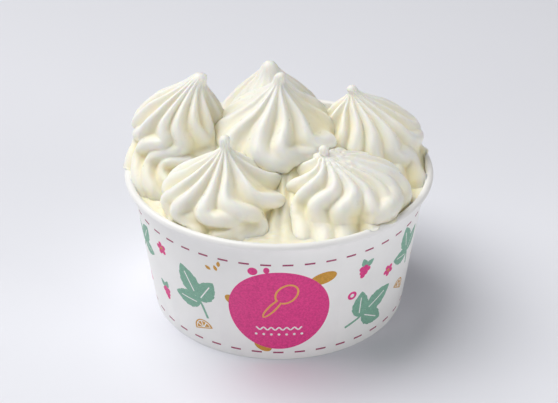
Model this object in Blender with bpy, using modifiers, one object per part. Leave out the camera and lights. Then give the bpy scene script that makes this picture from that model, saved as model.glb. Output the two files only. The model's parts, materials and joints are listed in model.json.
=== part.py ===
"""Frozen yogurt cup.

A round paper bowl, 142 mm across its rolled rim, filled with plain frozen
yogurt up to the rim and topped with six piped swirls. Every swirl is the same
kind of form, a star-nozzle kiss: a small nub, ridges that run down from it,
a fold where they slide sideways, and a lower tier that stands on the filling.
Lengths are named in millimetres and the meshes are in metres, with +Z up, the
axis of the cup on the world Z axis and the front of the cup towards -Y.
"""

import math
from dataclasses import dataclass, replace

import bmesh
import bpy
import numpy as np

MM = 0.001
TURN = 2.0 * math.pi

# Paper of the cup
PAPER = 0.5
GAP = 0.3
SEGMENTS = 56

# Side wall, measured on its outer face
CUP_HEIGHT = 67.5
FOOT_RADIUS = 59.5
RIM_RADIUS = 71.0
CURL_RADIUS = 1.75
CURL_END = math.radians(-125.0)
CURL_CENTRE_R = RIM_RADIUS - CURL_RADIUS
CURL_CENTRE_Z = CUP_HEIGHT - CURL_RADIUS
WALL_TOP_RADIUS = CURL_CENTRE_R - CURL_RADIUS + PAPER
TAPER = (WALL_TOP_RADIUS - FOOT_RADIUS) / CURL_CENTRE_Z

# Foot, where the wall is folded inward and up around the skirt of the base
HEM_HEIGHT = 5.0
FOLD_SOFTNESS = 0.3
SKIRT_OUTER = FOOT_RADIUS - PAPER - GAP
SKIRT_INNER = SKIRT_OUTER - PAPER
HEM_OUTER = SKIRT_INNER - GAP
HEM_INNER = HEM_OUTER - PAPER
SKIRT_BOTTOM = PAPER + GAP
BASE_TOP = 6.5

# Filling, a little heaped towards the middle
FILL_BOTTOM = BASE_TOP + GAP
FILL_LEVEL = 60.5
FILL_HEAP = 7.5
FILL_HEAP_SPREAD = 30.0
FILL_EDGE_RISE = 1.2
FILL_SEGMENTS = 48
FILL_RINGS = 10

# Levels of a swirl's rings: 0 is the tip, 1 the girth and 2 the floor
LEVELS = (0.02, 0.08, 0.18, 0.32, 0.47, 0.62, 0.75, 0.86, 0.97, 1.11, 1.33, 1.62, 2.0)
COLUMNS_PER_RIDGE = 4

# The smooth room kept free round a swirl, where its neighbours are cut back
ROOM_LEVELS = (0.06, 0.2, 0.4, 0.6, 0.8, 1.0, 1.4, 2.0)
ROOM_COLUMNS = 20
ROOM_ALLOWANCE = 0.5
MERGE = 0.02

# Colours and finishes
PAPER_COLOUR = (0.86, 0.86, 0.85, 1.0)
YOGURT_COLOUR = (0.90, 0.88, 0.76, 1.0)


@dataclass
class Swirl:
    """One piped swirl; lengths in millimetres and angles in degrees."""

    name: str
    foot: tuple
    tip: tuple
    girth: float
    girth_z: float
    floor_z: float
    pull: float
    lean: float
    nub: float
    ridges: int
    ridge_turn: float
    ridge_depth: float
    slide: float
    fold_z: float
    fold_height: float
    slide_back: float
    low_fold_z: float
    tuck: float
    flare: float
    low_shift: tuple
    seed: int


SWIRLS = (
    Swirl("swirl_front_left", foot=(-25.0, -31.0), tip=(-23.4, -30.0, 98.3), girth=23.8,
          girth_z=70.0, floor_z=56.0, pull=1.4, lean=2.0, nub=2.1, ridges=12,
          ridge_turn=-8.0, ridge_depth=5.2, slide=35.0, fold_z=73.5, fold_height=9.5,
          slide_back=16.0, low_fold_z=64.0, tuck=2.8, flare=0.98, low_shift=(0.0, 0.0),
          seed=23),
    Swirl("swirl_front_right", foot=(29.4, -28.0), tip=(19.5, -28.0, 91.8), girth=25.6,
          girth_z=66.0, floor_z=56.0, pull=0.66, lean=10.0, nub=1.9, ridges=12,
          ridge_turn=0.0, ridge_depth=5.2, slide=-32.0, fold_z=76.0, fold_height=11.0,
          slide_back=-14.0, low_fold_z=66.0, tuck=2.2, flare=0.98, low_shift=(0.0, 0.0),
          seed=29),
    Swirl("swirl_centre", foot=(-1.2, 4.0), tip=(0.8, 3.0, 112.5), girth=27.0,
          girth_z=79.0, floor_z=56.0, pull=1.22, lean=3.0, nub=2.4, ridges=13,
          ridge_turn=3.0, ridge_depth=3.8, slide=-16.0, fold_z=82.0, fold_height=10.0,
          slide_back=-10.0, low_fold_z=70.0, tuck=2.0, flare=0.86, low_shift=(0.0, 0.0),
          seed=3),
    Swirl("swirl_left", foot=(-46.0, 9.0), tip=(-34.6, 10.0, 108.0), girth=20.5,
          girth_z=81.0, floor_z=56.0, pull=1.15, lean=2.8, nub=4.2, ridges=12,
          ridge_turn=6.0, ridge_depth=4.4, slide=-38.0, fold_z=84.0, fold_height=10.0,
          slide_back=-14.0, low_fold_z=71.0, tuck=2.6, flare=1.22, low_shift=(4.0, -4.0),
          seed=11),
    Swirl("swirl_right", foot=(42.0, 12.0), tip=(33.3, 12.0, 101.8), girth=22.0,
          girth_z=77.0, floor_z=56.0, pull=0.9, lean=3.0, nub=2.3, ridges=13,
          ridge_turn=0.0, ridge_depth=4.0, slide=28.0, fold_z=79.0, fold_height=9.0,
          slide_back=8.0, low_fold_z=67.0, tuck=2.3, flare=1.08, low_shift=(0.0, -5.0),
          seed=17),
    Swirl("swirl_back", foot=(-4.0, 40.0), tip=(-3.8, 40.0, 101.0), girth=27.0,
          girth_z=72.0, floor_z=56.0, pull=1.35, lean=3.0, nub=2.8, ridges=13,
          ridge_turn=0.0, ridge_depth=3.2, slide=20.0, fold_z=74.0, fold_height=8.0,
          slide_back=10.0, low_fold_z=65.0, tuck=2.5, flare=1.0, low_shift=(0.0, 0.0),
          seed=5),
)


def smooth(share):
    """Ease from 0 to 1 with flat ends."""
    share = np.clip(share, 0.0, 1.0)
    return share * share * (3.0 - 2.0 * share)


def ripple(angle, rng, counts, size):
    """Sum a few whole waves round the circle, for an uneven outline."""
    total = np.zeros_like(angle)
    for count in counts:
        share = rng.uniform(0.5, 1.0) / len(counts)
        total += share * np.cos(count * angle + rng.uniform(0.0, TURN))
    return size * total


def along_ridges(phase, values):
    """Blend one value per ridge smoothly from ridge to ridge."""
    index = np.floor(phase).astype(int)
    share = smooth(phase - index)
    count = len(values)
    return values[index % count] * (1.0 - share) + values[(index + 1) % count] * share


def swirl_body(swirl, u, level):
    """Points of the swirl without its ridges, and what the ridges need to know."""
    rng = np.random.default_rng(swirl.seed)
    phase = u * swirl.ridges
    wander = ripple(TURN * u, rng, (2, 3, 5), 0.45 * TURN / swirl.ridges)
    strength = along_ridges(phase, 1.0 + 0.25 * rng.uniform(-1.0, 1.0, swirl.ridges))
    fold_shift = along_ridges(phase, rng.uniform(-1.0, 1.0, swirl.ridges))
    slide_share = along_ridges(phase, 1.0 + 0.22 * rng.uniform(-1.0, 1.0, swirl.ridges))
    low_shift = along_ridges(phase, rng.uniform(-1.0, 1.0, swirl.ridges))

    drop = swirl.tip[2] - swirl.girth_z
    upper = np.clip(level, 0.0, 1.0)
    lower = np.clip(level - 1.0, 0.0, 1.0)
    z = swirl.tip[2] - drop * upper - (swirl.girth_z - swirl.floor_z) * lower

    cone = swirl.girth * np.sin(0.5 * math.pi * upper ** swirl.pull)
    below_tip = drop * upper / swirl.nub
    bead = np.sqrt(np.clip(1.0 - (below_tip - 1.0) ** 2, 0.0, 1.0))
    neck = np.exp(-((below_tip - 1.0) / 1.5) ** 2)
    nub = swirl.nub * np.where(below_tip > 1.0, neck, bead)
    radius = (cone ** 3 + nub ** 3) ** (1.0 / 3.0)
    radius = radius + swirl.girth * (swirl.flare - 1.0) * smooth(1.3 * lower)

    start = TURN * u + wander + math.radians(swirl.ridge_turn)
    around = ripple(TURN * u, rng, (1, 2), 0.3)
    fold = swirl.fold_z + swirl.fold_height * (around + 0.09 * fold_shift)
    low_fold = swirl.low_fold_z + 1.2 * low_shift
    over = smooth((fold + 0.5 * swirl.fold_height - z) / swirl.fold_height)
    over_low = smooth((low_fold + 3.0 - z) / 6.0)
    angle = start + math.radians(swirl.slide) * over * slide_share
    angle = angle - math.radians(swirl.slide_back) * over_low

    bulge = np.exp(-((z - fold - 0.1 * swirl.fold_height) / (0.5 * swirl.fold_height)) ** 2)
    under = np.exp(-((z - fold + 0.85 * swirl.fold_height) / (0.32 * swirl.fold_height)) ** 2)
    body = np.clip(radius / swirl.girth, 0.0, 1.0)
    radius = radius + swirl.tuck * (0.45 * bulge - under) * body
    outline = ripple(angle, np.random.default_rng(swirl.seed + 7), (2, 3), 0.05)
    radius = radius * (1.0 + outline * smooth(1.5 * body))

    axis = (1.0 - upper) ** swirl.lean
    reach = 0.7 * (swirl.girth_z - swirl.floor_z)
    spread = smooth((swirl.girth_z + 2.0 - z) / reach)
    x = swirl.foot[0] + (swirl.tip[0] - swirl.foot[0]) * axis
    y = swirl.foot[1] + (swirl.tip[1] - swirl.foot[1]) * axis
    x = x + swirl.low_shift[0] * spread + radius * np.cos(angle)
    y = y + swirl.low_shift[1] * spread + radius * np.sin(angle)
    return np.stack([x, y, z], axis=-1), radius, strength, bulge


def swirl_normals(swirl, u, level):
    """Directions that point straight out of the swirl's unridged body."""
    step = 1.0e-4
    across = swirl_body(swirl, u + step, level)[0] - swirl_body(swirl, u - step, level)[0]
    down = swirl_body(swirl, u, level + step)[0] - swirl_body(swirl, u, level - step)[0]
    normal = np.cross(down, across)
    length = np.linalg.norm(normal, axis=-1, keepdims=True)
    return np.where(length > 1.0e-12, normal / np.maximum(length, 1.0e-12), (0.0, 0.0, 1.0))


def swirl_skin(swirl, u, level):
    """Points of the ridged surface."""
    points, radius, strength, bulge = swirl_body(swirl, u, level)
    body = np.clip(radius / swirl.girth, 0.0, 1.0)
    crest = np.abs(np.cos(math.pi * u * swirl.ridges))
    sharpness = 1.7 - 1.15 * smooth((body - 0.15) / 0.75)
    ridge = np.sqrt((crest ** (2.0 * sharpness) + 0.015) / 1.015)
    growth = smooth((radius - 0.6 * swirl.nub) / (0.9 * swirl.girth)) ** 0.7
    height = swirl.ridge_depth * growth * (1.0 + 0.35 * bulge) * strength
    return points + swirl_normals(swirl, u, level) * (height * (ridge - 0.6))[..., None]


def swirl_wrap(swirl, u, level):
    """Points of a smooth form that clears every ridge of the swirl by the gap."""
    plain = replace(swirl, slide=0.0, slide_back=0.0, tuck=0.0)
    points, radius, _, _ = swirl_body(plain, u, level)
    crest = 0.6 * swirl.ridge_depth * smooth(radius / (0.9 * swirl.girth)) ** 0.7
    outward = crest + 0.45 * swirl.tuck + GAP + ROOM_ALLOWANCE
    return points + swirl_normals(plain, u, level) * outward[..., None]


def fill_height(radius, angle):
    """Height of the filling's surface at a distance from the axis."""
    heap = FILL_HEAP * np.exp(-(radius / FILL_HEAP_SPREAD) ** 2)
    inner = FOOT_RADIUS + TAPER * FILL_LEVEL
    edge = FILL_EDGE_RISE * smooth((radius - 0.8 * inner) / (0.2 * inner))
    uneven = 0.5 * np.sin(3.0 * angle + 0.6) + 0.35 * np.sin(5.0 * angle + 2.1)
    return FILL_LEVEL + heap + edge + uneven * smooth(radius / inner)


def link(obj, collection):
    """Put an object in one collection and name its mesh after it."""
    for other in list(obj.users_collection):
        other.objects.unlink(obj)
    collection.objects.link(obj)
    obj.data.name = obj.name
    return obj


def finish(name, colour, roughness):
    """Make a plain Principled finish."""
    material = bpy.data.materials.new(name)
    material.use_nodes = True
    shader = material.node_tree.nodes["Principled BSDF"]
    shader.inputs["Base Color"].default_value = colour
    shader.inputs["Roughness"].default_value = roughness
    shader.inputs["Metallic"].default_value = 0.0
    material.diffuse_color = colour
    return material


def turned(name, outline, closed, collection):
    """Turn an outline of (radius, height) points round the Z axis."""
    mesh = bpy.data.meshes.new(name)
    points = [(radius * MM, 0.0, height * MM) for radius, height in outline]
    edges = [(index, index + 1) for index in range(len(points) - 1)]
    if closed:
        edges.append((len(points) - 1, 0))
    mesh.from_pydata(points, edges, [])
    obj = bpy.data.objects.new(name, mesh)
    screw = obj.modifiers.new("turn", "SCREW")
    screw.axis = "Z"
    screw.angle = TURN
    screw.steps = SEGMENTS
    screw.render_steps = SEGMENTS
    screw.use_merge_vertices = True
    screw.merge_threshold = 1.0e-5
    return link(obj, collection)


def curl_arc(radius, first, last, steps):
    """Points on the rolled rim's section from one angle to another."""
    points = []
    for index in range(steps + 1):
        angle = first + (last - first) * index / steps
        points.append((CURL_CENTRE_R + radius * math.cos(angle),
                       CURL_CENTRE_Z + radius * math.sin(angle)))
    return points


def leaned(radius, height):
    """A point on the foot's parts, which lean out as the wall does."""
    return (radius + TAPER * height, height)


def make_wall(collection):
    """The side wall: rolled rim, cone and folded foot in one sheet of paper."""
    outline = curl_arc(CURL_RADIUS, 0.5 * math.pi, CURL_END, 6)
    outline += curl_arc(CURL_RADIUS - PAPER, CURL_END, math.pi, 4)
    outline += [leaned(FOOT_RADIUS, FOLD_SOFTNESS), (FOOT_RADIUS - FOLD_SOFTNESS, 0.0)]
    outline += [(HEM_INNER + FOLD_SOFTNESS, 0.0), leaned(HEM_INNER, FOLD_SOFTNESS)]
    outline += [leaned(HEM_INNER, HEM_HEIGHT), leaned(HEM_OUTER, HEM_HEIGHT)]
    outline += [leaned(HEM_OUTER, PAPER), leaned(FOOT_RADIUS - PAPER, PAPER)]
    outline += curl_arc(CURL_RADIUS, math.pi, 0.5 * math.pi, 3)[:-1]
    return turned("cup_wall", outline, True, collection)


def make_base(collection):
    """The bottom disc with its skirt turned down into the foot."""
    outline = [(0.0, BASE_TOP), leaned(SKIRT_OUTER - FOLD_SOFTNESS, BASE_TOP),
               leaned(SKIRT_OUTER, BASE_TOP - FOLD_SOFTNESS),
               leaned(SKIRT_OUTER, SKIRT_BOTTOM), leaned(SKIRT_INNER, SKIRT_BOTTOM),
               leaned(SKIRT_INNER, BASE_TOP - PAPER), (0.0, BASE_TOP - PAPER)]
    return turned("cup_base", outline, False, collection)


def moved_sphere(name, columns, rings, place, collection):
    """A sphere whose rings and columns are moved to where a function puts them."""
    mesh = bpy.data.meshes.new(name)
    shape = bmesh.new()
    bmesh.ops.create_uvsphere(shape, u_segments=columns, v_segments=rings, radius=1.0)
    vertices = list(shape.verts)
    at = np.array([vertex.co for vertex in vertices])
    column = np.round(np.arctan2(at[:, 1], at[:, 0]) / TURN * columns)
    ring = np.round(np.arccos(np.clip(at[:, 2], -1.0, 1.0)) / math.pi * rings).astype(int)
    points = place(column / columns, ring) * MM
    for vertex, point in zip(vertices, points):
        vertex.co = point
    bmesh.ops.triangulate(shape, faces=shape.faces)
    bmesh.ops.recalc_face_normals(shape, faces=shape.faces)
    shape.to_mesh(mesh)
    shape.free()
    return link(bpy.data.objects.new(name, mesh), collection)


def make_swirl(swirl, name, surface, levels, columns, collection):
    """A whole swirl, or the room round it, closed by a shallow cone below."""
    levels = np.array((0.0,) + levels + (2.0,))
    last = len(levels) - 1

    def place(u, ring):
        points = surface(swirl, u, levels[ring])
        middle = np.array([swirl.foot[0] + swirl.low_shift[0],
                           swirl.foot[1] + swirl.low_shift[1], swirl.floor_z - 4.0])
        points[ring == last] = middle
        points[ring == last - 1, 2] = swirl.floor_z
        return points

    return moved_sphere(name, columns, last, place, collection)


def make_filling(name, lift, clearance, collection):
    """The filling, from the base up to its heaped surface."""
    rings_on_top = FILL_RINGS - 3

    def place(u, ring):
        angle = TURN * u
        share = np.clip(ring / rings_on_top, 0.0, 1.0)
        wall = FOOT_RADIUS - PAPER - clearance
        edge = wall + TAPER * (FILL_LEVEL + FILL_EDGE_RISE)
        radius = edge * share
        z = fill_height(radius, angle) + lift
        z = np.where(ring > rings_on_top, FILL_BOTTOM, z)
        radius = np.where(ring > rings_on_top, wall + TAPER * FILL_BOTTOM, radius)
        radius = np.where(ring == rings_on_top + 2, 0.5 * radius, radius)
        radius = np.where(ring == FILL_RINGS, 0.0, radius)
        return np.stack([radius * np.cos(angle), radius * np.sin(angle), z], axis=-1)

    return moved_sphere(name, FILL_SEGMENTS, FILL_RINGS, place, collection)


def make_rim_room(collection):
    """The room that the wall and its rim take up, with a clearance, as a cutter."""
    outline = [(RIM_RADIUS + 20.0, CUP_HEIGHT + GAP), (RIM_RADIUS + 20.0, 40.0)]
    outline += [(FOOT_RADIUS - PAPER - GAP + TAPER * 40.0, 40.0)]
    outline += curl_arc(CURL_RADIUS + GAP, math.pi, 0.5 * math.pi, 3)
    return turned("room_of_rim", outline, True, collection)


def tidy_cut(mesh):
    """Merge the points that a cut left almost together and keep the largest body."""
    shape = bmesh.new()
    shape.from_mesh(mesh)
    bmesh.ops.remove_doubles(shape, verts=shape.verts, dist=MERGE * MM)
    bmesh.ops.dissolve_degenerate(shape, edges=shape.edges, dist=MERGE * MM)
    left = set(shape.faces)
    bodies = []
    while left:
        front = [left.pop()]
        body = list(front)
        while front:
            face = front.pop()
            for edge in face.edges:
                for other in edge.link_faces:
                    if other in left:
                        left.remove(other)
                        front.append(other)
                        body.append(other)
        bodies.append(body)
    bodies.sort(key=lambda faces: sum(face.calc_area() for face in faces), reverse=True)
    for body in bodies[1:]:
        bmesh.ops.delete(shape, geom=body, context="FACES")
    bmesh.ops.triangulate(shape, faces=shape.faces)
    shape.to_mesh(mesh)
    shape.free()


def cut_away(obj, cutters):
    """Take the room of one cutter after another out of an object's mesh."""
    for cutter in cutters:
        boolean = obj.modifiers.new("room_of_" + cutter.name, "BOOLEAN")
        boolean.operation = "DIFFERENCE"
        boolean.solver = "EXACT"
        boolean.object = cutter
        depsgraph = bpy.context.evaluated_depsgraph_get()
        cut = bpy.data.meshes.new_from_object(obj.evaluated_get(depsgraph))
        obj.modifiers.clear()
        old = obj.data
        obj.data = cut
        bpy.data.meshes.remove(old)
        tidy_cut(cut)
    obj.data.name = obj.name


def shade(obj, degrees):
    """Shade smooth, with edges sharper than an angle kept crisp."""
    obj.data.shade_smooth()
    obj.data.set_sharp_from_angle(angle=math.radians(degrees))


def main():
    """Build the cup, the filling and the swirls."""
    for obj in list(bpy.data.objects):
        bpy.data.objects.remove(obj)
    cup = bpy.data.collections.new("frozen_yogurt_cup")
    rooms = bpy.data.collections.new("cutters")
    bpy.context.scene.collection.children.link(cup)
    bpy.context.scene.collection.children.link(rooms)

    paper = finish("coated_paper", PAPER_COLOUR, 0.45)
    yogurt = finish("plain_yogurt", YOGURT_COLOUR, 0.42)

    wall = make_wall(cup)
    base = make_base(cup)
    for obj in (wall, base):
        obj.data.materials.append(paper)
        shade(obj, 40.0)

    filling = make_filling("yogurt_bed", 0.0, GAP, cup)
    filling.data.materials.append(yogurt)
    shade(filling, 50.0)

    rim_room = make_rim_room(rooms)
    fill_room = make_filling("room_of_filling", GAP, 0.0, rooms)
    swirl_rooms = []
    swirls = []
    for swirl in SWIRLS:
        columns = swirl.ridges * COLUMNS_PER_RIDGE
        swirls.append(make_swirl(swirl, swirl.name, swirl_skin, LEVELS, columns, cup))
        swirl_rooms.append(make_swirl(swirl, "room_of_" + swirl.name, swirl_wrap,
                                      ROOM_LEVELS, ROOM_COLUMNS, rooms))
    for index, obj in enumerate(swirls):
        cut_away(obj, swirl_rooms[:index] + [rim_room, fill_room])
        obj.data.materials.append(yogurt)
        shade(obj, 60.0)

    for obj in rooms.objects:
        obj.hide_render = True
        obj.display_type = "WIRE"


main()
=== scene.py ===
"""Looks of a frozen yogurt cup: a printed paper bowl heaped with piped plain yogurt.

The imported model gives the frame. Each piece below is built at its CAD place, in
millimetres that turn into metres when its mesh is made, with +Z up, the cup's
axis on the world Z axis and the front of the cup towards -Y.
"""

import json
import logging
import math
from dataclasses import dataclass, field
from enum import Enum

import bpy
import numpy as np
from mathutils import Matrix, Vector
from mathutils.geometry import delaunay_2d_cdt

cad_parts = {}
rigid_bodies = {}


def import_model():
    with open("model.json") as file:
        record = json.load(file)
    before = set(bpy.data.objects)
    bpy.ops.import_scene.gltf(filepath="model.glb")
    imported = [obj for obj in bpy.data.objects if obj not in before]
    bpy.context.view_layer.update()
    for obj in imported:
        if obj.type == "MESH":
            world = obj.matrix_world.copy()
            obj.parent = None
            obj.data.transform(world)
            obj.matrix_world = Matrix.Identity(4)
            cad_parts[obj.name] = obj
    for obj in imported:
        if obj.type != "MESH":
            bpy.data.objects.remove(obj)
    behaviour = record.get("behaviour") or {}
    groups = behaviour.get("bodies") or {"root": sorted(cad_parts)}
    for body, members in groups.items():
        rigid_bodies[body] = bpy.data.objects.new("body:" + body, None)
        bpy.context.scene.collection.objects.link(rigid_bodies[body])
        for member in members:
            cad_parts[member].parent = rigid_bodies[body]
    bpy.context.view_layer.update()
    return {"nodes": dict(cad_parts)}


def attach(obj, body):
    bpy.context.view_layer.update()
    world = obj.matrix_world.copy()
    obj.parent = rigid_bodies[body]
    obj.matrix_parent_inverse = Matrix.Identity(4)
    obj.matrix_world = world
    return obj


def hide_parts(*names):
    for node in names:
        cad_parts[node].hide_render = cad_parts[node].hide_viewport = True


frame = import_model()

LOG = logging.getLogger("frozen_yogurt_cup")
MM = 0.001
TURN = 2.0 * math.pi
# Mesh attribute that carries painted warm bounce light: 0 on a crest, 1 deep in a fold.
PAINTED_BOUNCE = "painted_bounce"
NOISE_SPAN = (0.3, 0.7)
GRAIN_KEYS = (73856093, 19349663, 83492791)
GRAIN_VALUES = 4096

Outline = list[tuple[float, float]]
Colour = tuple[float, float, float]


def ease(share: np.ndarray) -> np.ndarray:
    """Ease from 0 to 1 with flat ends.

    Args:
        share: Values to ease; those outside 0 to 1 are clipped.

    Returns:
        The eased values.
    """
    share = np.clip(share, 0.0, 1.0)
    return share * share * (3.0 - 2.0 * share)


def ripple(angle: np.ndarray, seed: int, counts: tuple[int, ...], size: float) -> np.ndarray:
    """Sum a few whole waves round the circle, for an uneven outline.

    Args:
        angle: Angles in radians.
        seed: Seed of the waves' strengths and phases.
        counts: How often each wave goes up and down in a turn.
        size: Largest height of the sum.

    Returns:
        The height at each angle.
    """
    rng = np.random.default_rng(seed)
    total = np.zeros_like(angle)
    for count in counts:
        share = rng.uniform(0.5, 1.0) / len(counts)
        total += share * np.cos(count * angle + rng.uniform(0.0, TURN))
    return size * total


def grain(points: np.ndarray, seed: int) -> np.ndarray:
    """Smooth seeded noise in space, one bump per unit length.

    Args:
        points: Places, in an array whose last axis is x, y, z.
        seed: Seed of the noise.

    Returns:
        Values between about -1 and 1.
    """
    table = np.random.default_rng(seed).uniform(-1.0, 1.0, GRAIN_VALUES)
    low = np.floor(points).astype(np.int64)
    part = ease(points - low)
    total = np.zeros(points.shape[:-1])
    for corner in range(8):
        step = np.array([corner & 1, corner >> 1 & 1, corner >> 2 & 1])
        cell = (low + step) * GRAIN_KEYS
        key = cell[..., 0] ^ cell[..., 1] ^ cell[..., 2]
        weight = np.prod(np.where(step == 1, part, 1.0 - part), axis=-1)
        total += table[key & (GRAIN_VALUES - 1)] * weight
    return total


def new_piece(name: str, points: np.ndarray, faces: list, collection: str) -> bpy.types.Object:
    """Make a smooth mesh piece from points in millimetres.

    Args:
        name: Name of the piece.
        points: Its points, in millimetres.
        faces: Its faces, as lists of point numbers.
        collection: Name of the collection that it goes in.

    Returns:
        The new object.
    """
    mesh = bpy.data.meshes.new(name)
    mesh.from_pydata((points * MM).tolist(), [], faces)
    mesh.shade_smooth()
    piece = bpy.data.objects.new(name, mesh)
    group = bpy.data.collections.get(collection) or bpy.data.collections.new(collection)
    if group.name not in bpy.context.scene.collection.children:
        bpy.context.scene.collection.children.link(group)
    group.objects.link(piece)
    return piece


def grid_faces(rings: int, columns: int) -> list:
    """Faces of a grid that closes round its columns.

    Args:
        rings: Number of rings of points.
        columns: Number of points in a ring.

    Returns:
        Four-cornered faces, facing out where rings run downwards.
    """
    number = np.arange(rings * columns).reshape(rings, columns)
    upper = number[:-1]
    lower = number[1:]
    faces = np.stack([upper, lower, np.roll(lower, -1, 1), np.roll(upper, -1, 1)], axis=-1)
    return faces.reshape(-1, 4).tolist()


def close_ends(faces: list, rings: int, columns: int) -> None:
    """Close a grid over its first ring and under its last one.

    Args:
        faces: The grid's faces, which get the new ones. The two middle points follow the grid's.
        rings: Number of rings of points.
        columns: Number of points in a ring.
    """
    last = (rings - 1) * columns
    top = rings * columns
    for index in range(columns):
        after = (index + 1) % columns
        faces.append([top, index, after])
        faces.append([top + 1, last + after, last + index])


def write_painted_bounce(piece: bpy.types.Object, values: np.ndarray) -> None:
    """Store on a piece how much painted warm bounce light each point gets, most deep in a fold.

    Args:
        piece: The piece.
        values: One number per point, from 0 on a crest to 1 in a fold.
    """
    layer = piece.data.attributes.new(PAINTED_BOUNCE, "FLOAT", "POINT")
    layer.data.foreach_set("value", values.astype(np.float32).ravel())


class NodeSheet:
    """Shorthand for laying out a material's nodes."""

    def __init__(self, name: str) -> None:
        """Start a material with an empty Principled shader.

        Args:
            name: Name of the material.
        """
        self.material = bpy.data.materials.new(name)
        self.material.use_nodes = True
        self.tree = self.material.node_tree
        self.shader = self.tree.nodes["Principled BSDF"]

    def add(self, kind: str, **settings: object) -> bpy.types.Node:
        """Add one node.

        Args:
            kind: Blender's name of the node type.
            **settings: Properties to set on it.

        Returns:
            The node.
        """
        node = self.tree.nodes.new(kind)
        for key, value in settings.items():
            setattr(node, key, value)
        return node

    def join(self, out: bpy.types.NodeSocket, into: bpy.types.NodeSocket) -> None:
        """Link an output to an input."""
        self.tree.links.new(out, into)

    def noise(self, scale: float, detail: float, roughness: float = 0.5) -> bpy.types.NodeSocket:
        """Add a noise over the object's own coordinates.

        Args:
            scale: Bumps per metre.
            detail: Number of finer layers.
            roughness: Strength of the finer layers.

        Returns:
            The noise's value.
        """
        place = self.add("ShaderNodeTexCoord")
        noise = self.add("ShaderNodeTexNoise")
        noise.inputs["Scale"].default_value = scale
        noise.inputs["Detail"].default_value = detail
        noise.inputs["Roughness"].default_value = roughness
        self.join(place.outputs["Object"], noise.inputs["Vector"])
        return noise.outputs["Fac"]

    def spread(self, value: bpy.types.NodeSocket, low: float, high: float,
               to_low: float, to_high: float) -> bpy.types.NodeSocket:
        """Map one range of values to another.

        Args:
            value: The socket to read.
            low: Value that becomes to_low.
            high: Value that becomes to_high.
            to_low: Lowest result.
            to_high: Highest result.

        Returns:
            The mapped value.
        """
        node = self.add("ShaderNodeMapRange")
        node.inputs["From Min"].default_value = low
        node.inputs["From Max"].default_value = high
        node.inputs["To Min"].default_value = to_low
        node.inputs["To Max"].default_value = to_high
        self.join(value, node.inputs["Value"])
        return node.outputs["Result"]

    def blend(self, share: bpy.types.NodeSocket, first: Colour,
              second: Colour) -> bpy.types.NodeSocket:
        """Blend two colours by a share.

        Args:
            share: 0 for the first colour and 1 for the second.
            first: First colour.
            second: Second colour.

        Returns:
            The blended colour.
        """
        node = self.add("ShaderNodeMix", data_type="RGBA")
        node.inputs["A"].default_value = (*first, 1.0)
        node.inputs["B"].default_value = (*second, 1.0)
        self.join(share, node.inputs["Factor"])
        return node.outputs["Result"]

    def relief(self, height: bpy.types.NodeSocket, distance: float, strength: float,
               under: bpy.types.NodeSocket = None) -> bpy.types.NodeSocket:
        """Turn a height into a bumped normal.

        Args:
            height: Height of the relief.
            distance: Height of a full step, in metres.
            strength: Share of the relief that shows.
            under: Normal of a coarser relief beneath.

        Returns:
            The bumped normal.
        """
        node = self.add("ShaderNodeBump")
        node.inputs["Distance"].default_value = distance
        node.inputs["Strength"].default_value = strength
        self.join(height, node.inputs["Height"])
        if under is not None:
            self.join(under, node.inputs["Normal"])
        return node.outputs["Normal"]


@dataclass(frozen=True)
class YogurtFinish:
    """Plain frozen yogurt: satin and milky, with painted warm bounce light that makes it warmer in
    the folds.
    """

    name: str = "plain_yogurt"
    crest: Colour = (0.88, 0.88, 0.84)
    # Painted warm bounce light: the colour where the painted bounce value is 1.
    painted_bounce: Colour = (0.90, 0.835, 0.58)
    roughness: float = 0.33
    milkiness: float = 0.7
    light_reach: tuple[float, float, float] = (0.0022, 0.0018, 0.0011)
    ior: float = 1.38
    cloud_scale: float = 90.0
    cloud_share: float = 0.08
    wet_scale: float = 220.0
    wet_range: tuple[float, float] = (-0.07, 0.09)
    soft_scale: float = 420.0
    soft_height: float = 0.00025
    soft_strength: float = 0.5
    fine_scale: float = 1900.0
    fine_height: float = 0.00006
    fine_strength: float = 0.4

    def build(self) -> bpy.types.Material:
        """Lay out the material.

        Returns:
            The material, which reads the pieces' painted bounce values.
        """
        sheet = NodeSheet(self.name)
        # Painted warm bounce light: the crest colour blends to the painted bounce colour in the
        # folds.
        bounce = sheet.add("ShaderNodeAttribute", attribute_name=PAINTED_BOUNCE)
        clouds = sheet.spread(sheet.noise(self.cloud_scale, 3.0), *NOISE_SPAN,
                              -self.cloud_share, self.cloud_share)
        share = sheet.add("ShaderNodeMath", operation="ADD", use_clamp=True)
        sheet.join(bounce.outputs["Fac"], share.inputs[0])
        sheet.join(clouds, share.inputs[1])
        colour = sheet.blend(share.outputs["Value"], self.crest, self.painted_bounce)
        sheet.join(colour, sheet.shader.inputs["Base Color"])
        wetness = sheet.spread(sheet.noise(self.wet_scale, 2.0), *NOISE_SPAN,
                               *(self.roughness + part for part in self.wet_range))
        sheet.join(wetness, sheet.shader.inputs["Roughness"])
        soft = sheet.relief(sheet.noise(self.soft_scale, 3.0, 0.6), self.soft_height,
                            self.soft_strength)
        fine = sheet.relief(sheet.noise(self.fine_scale, 2.0), self.fine_height,
                            self.fine_strength, soft)
        sheet.join(fine, sheet.shader.inputs["Normal"])
        sheet.shader.inputs["Subsurface Weight"].default_value = self.milkiness
        sheet.shader.inputs["Subsurface Radius"].default_value = self.light_reach
        sheet.shader.inputs["Subsurface Scale"].default_value = 1.0
        sheet.shader.inputs["IOR"].default_value = self.ior
        return sheet.material


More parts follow.
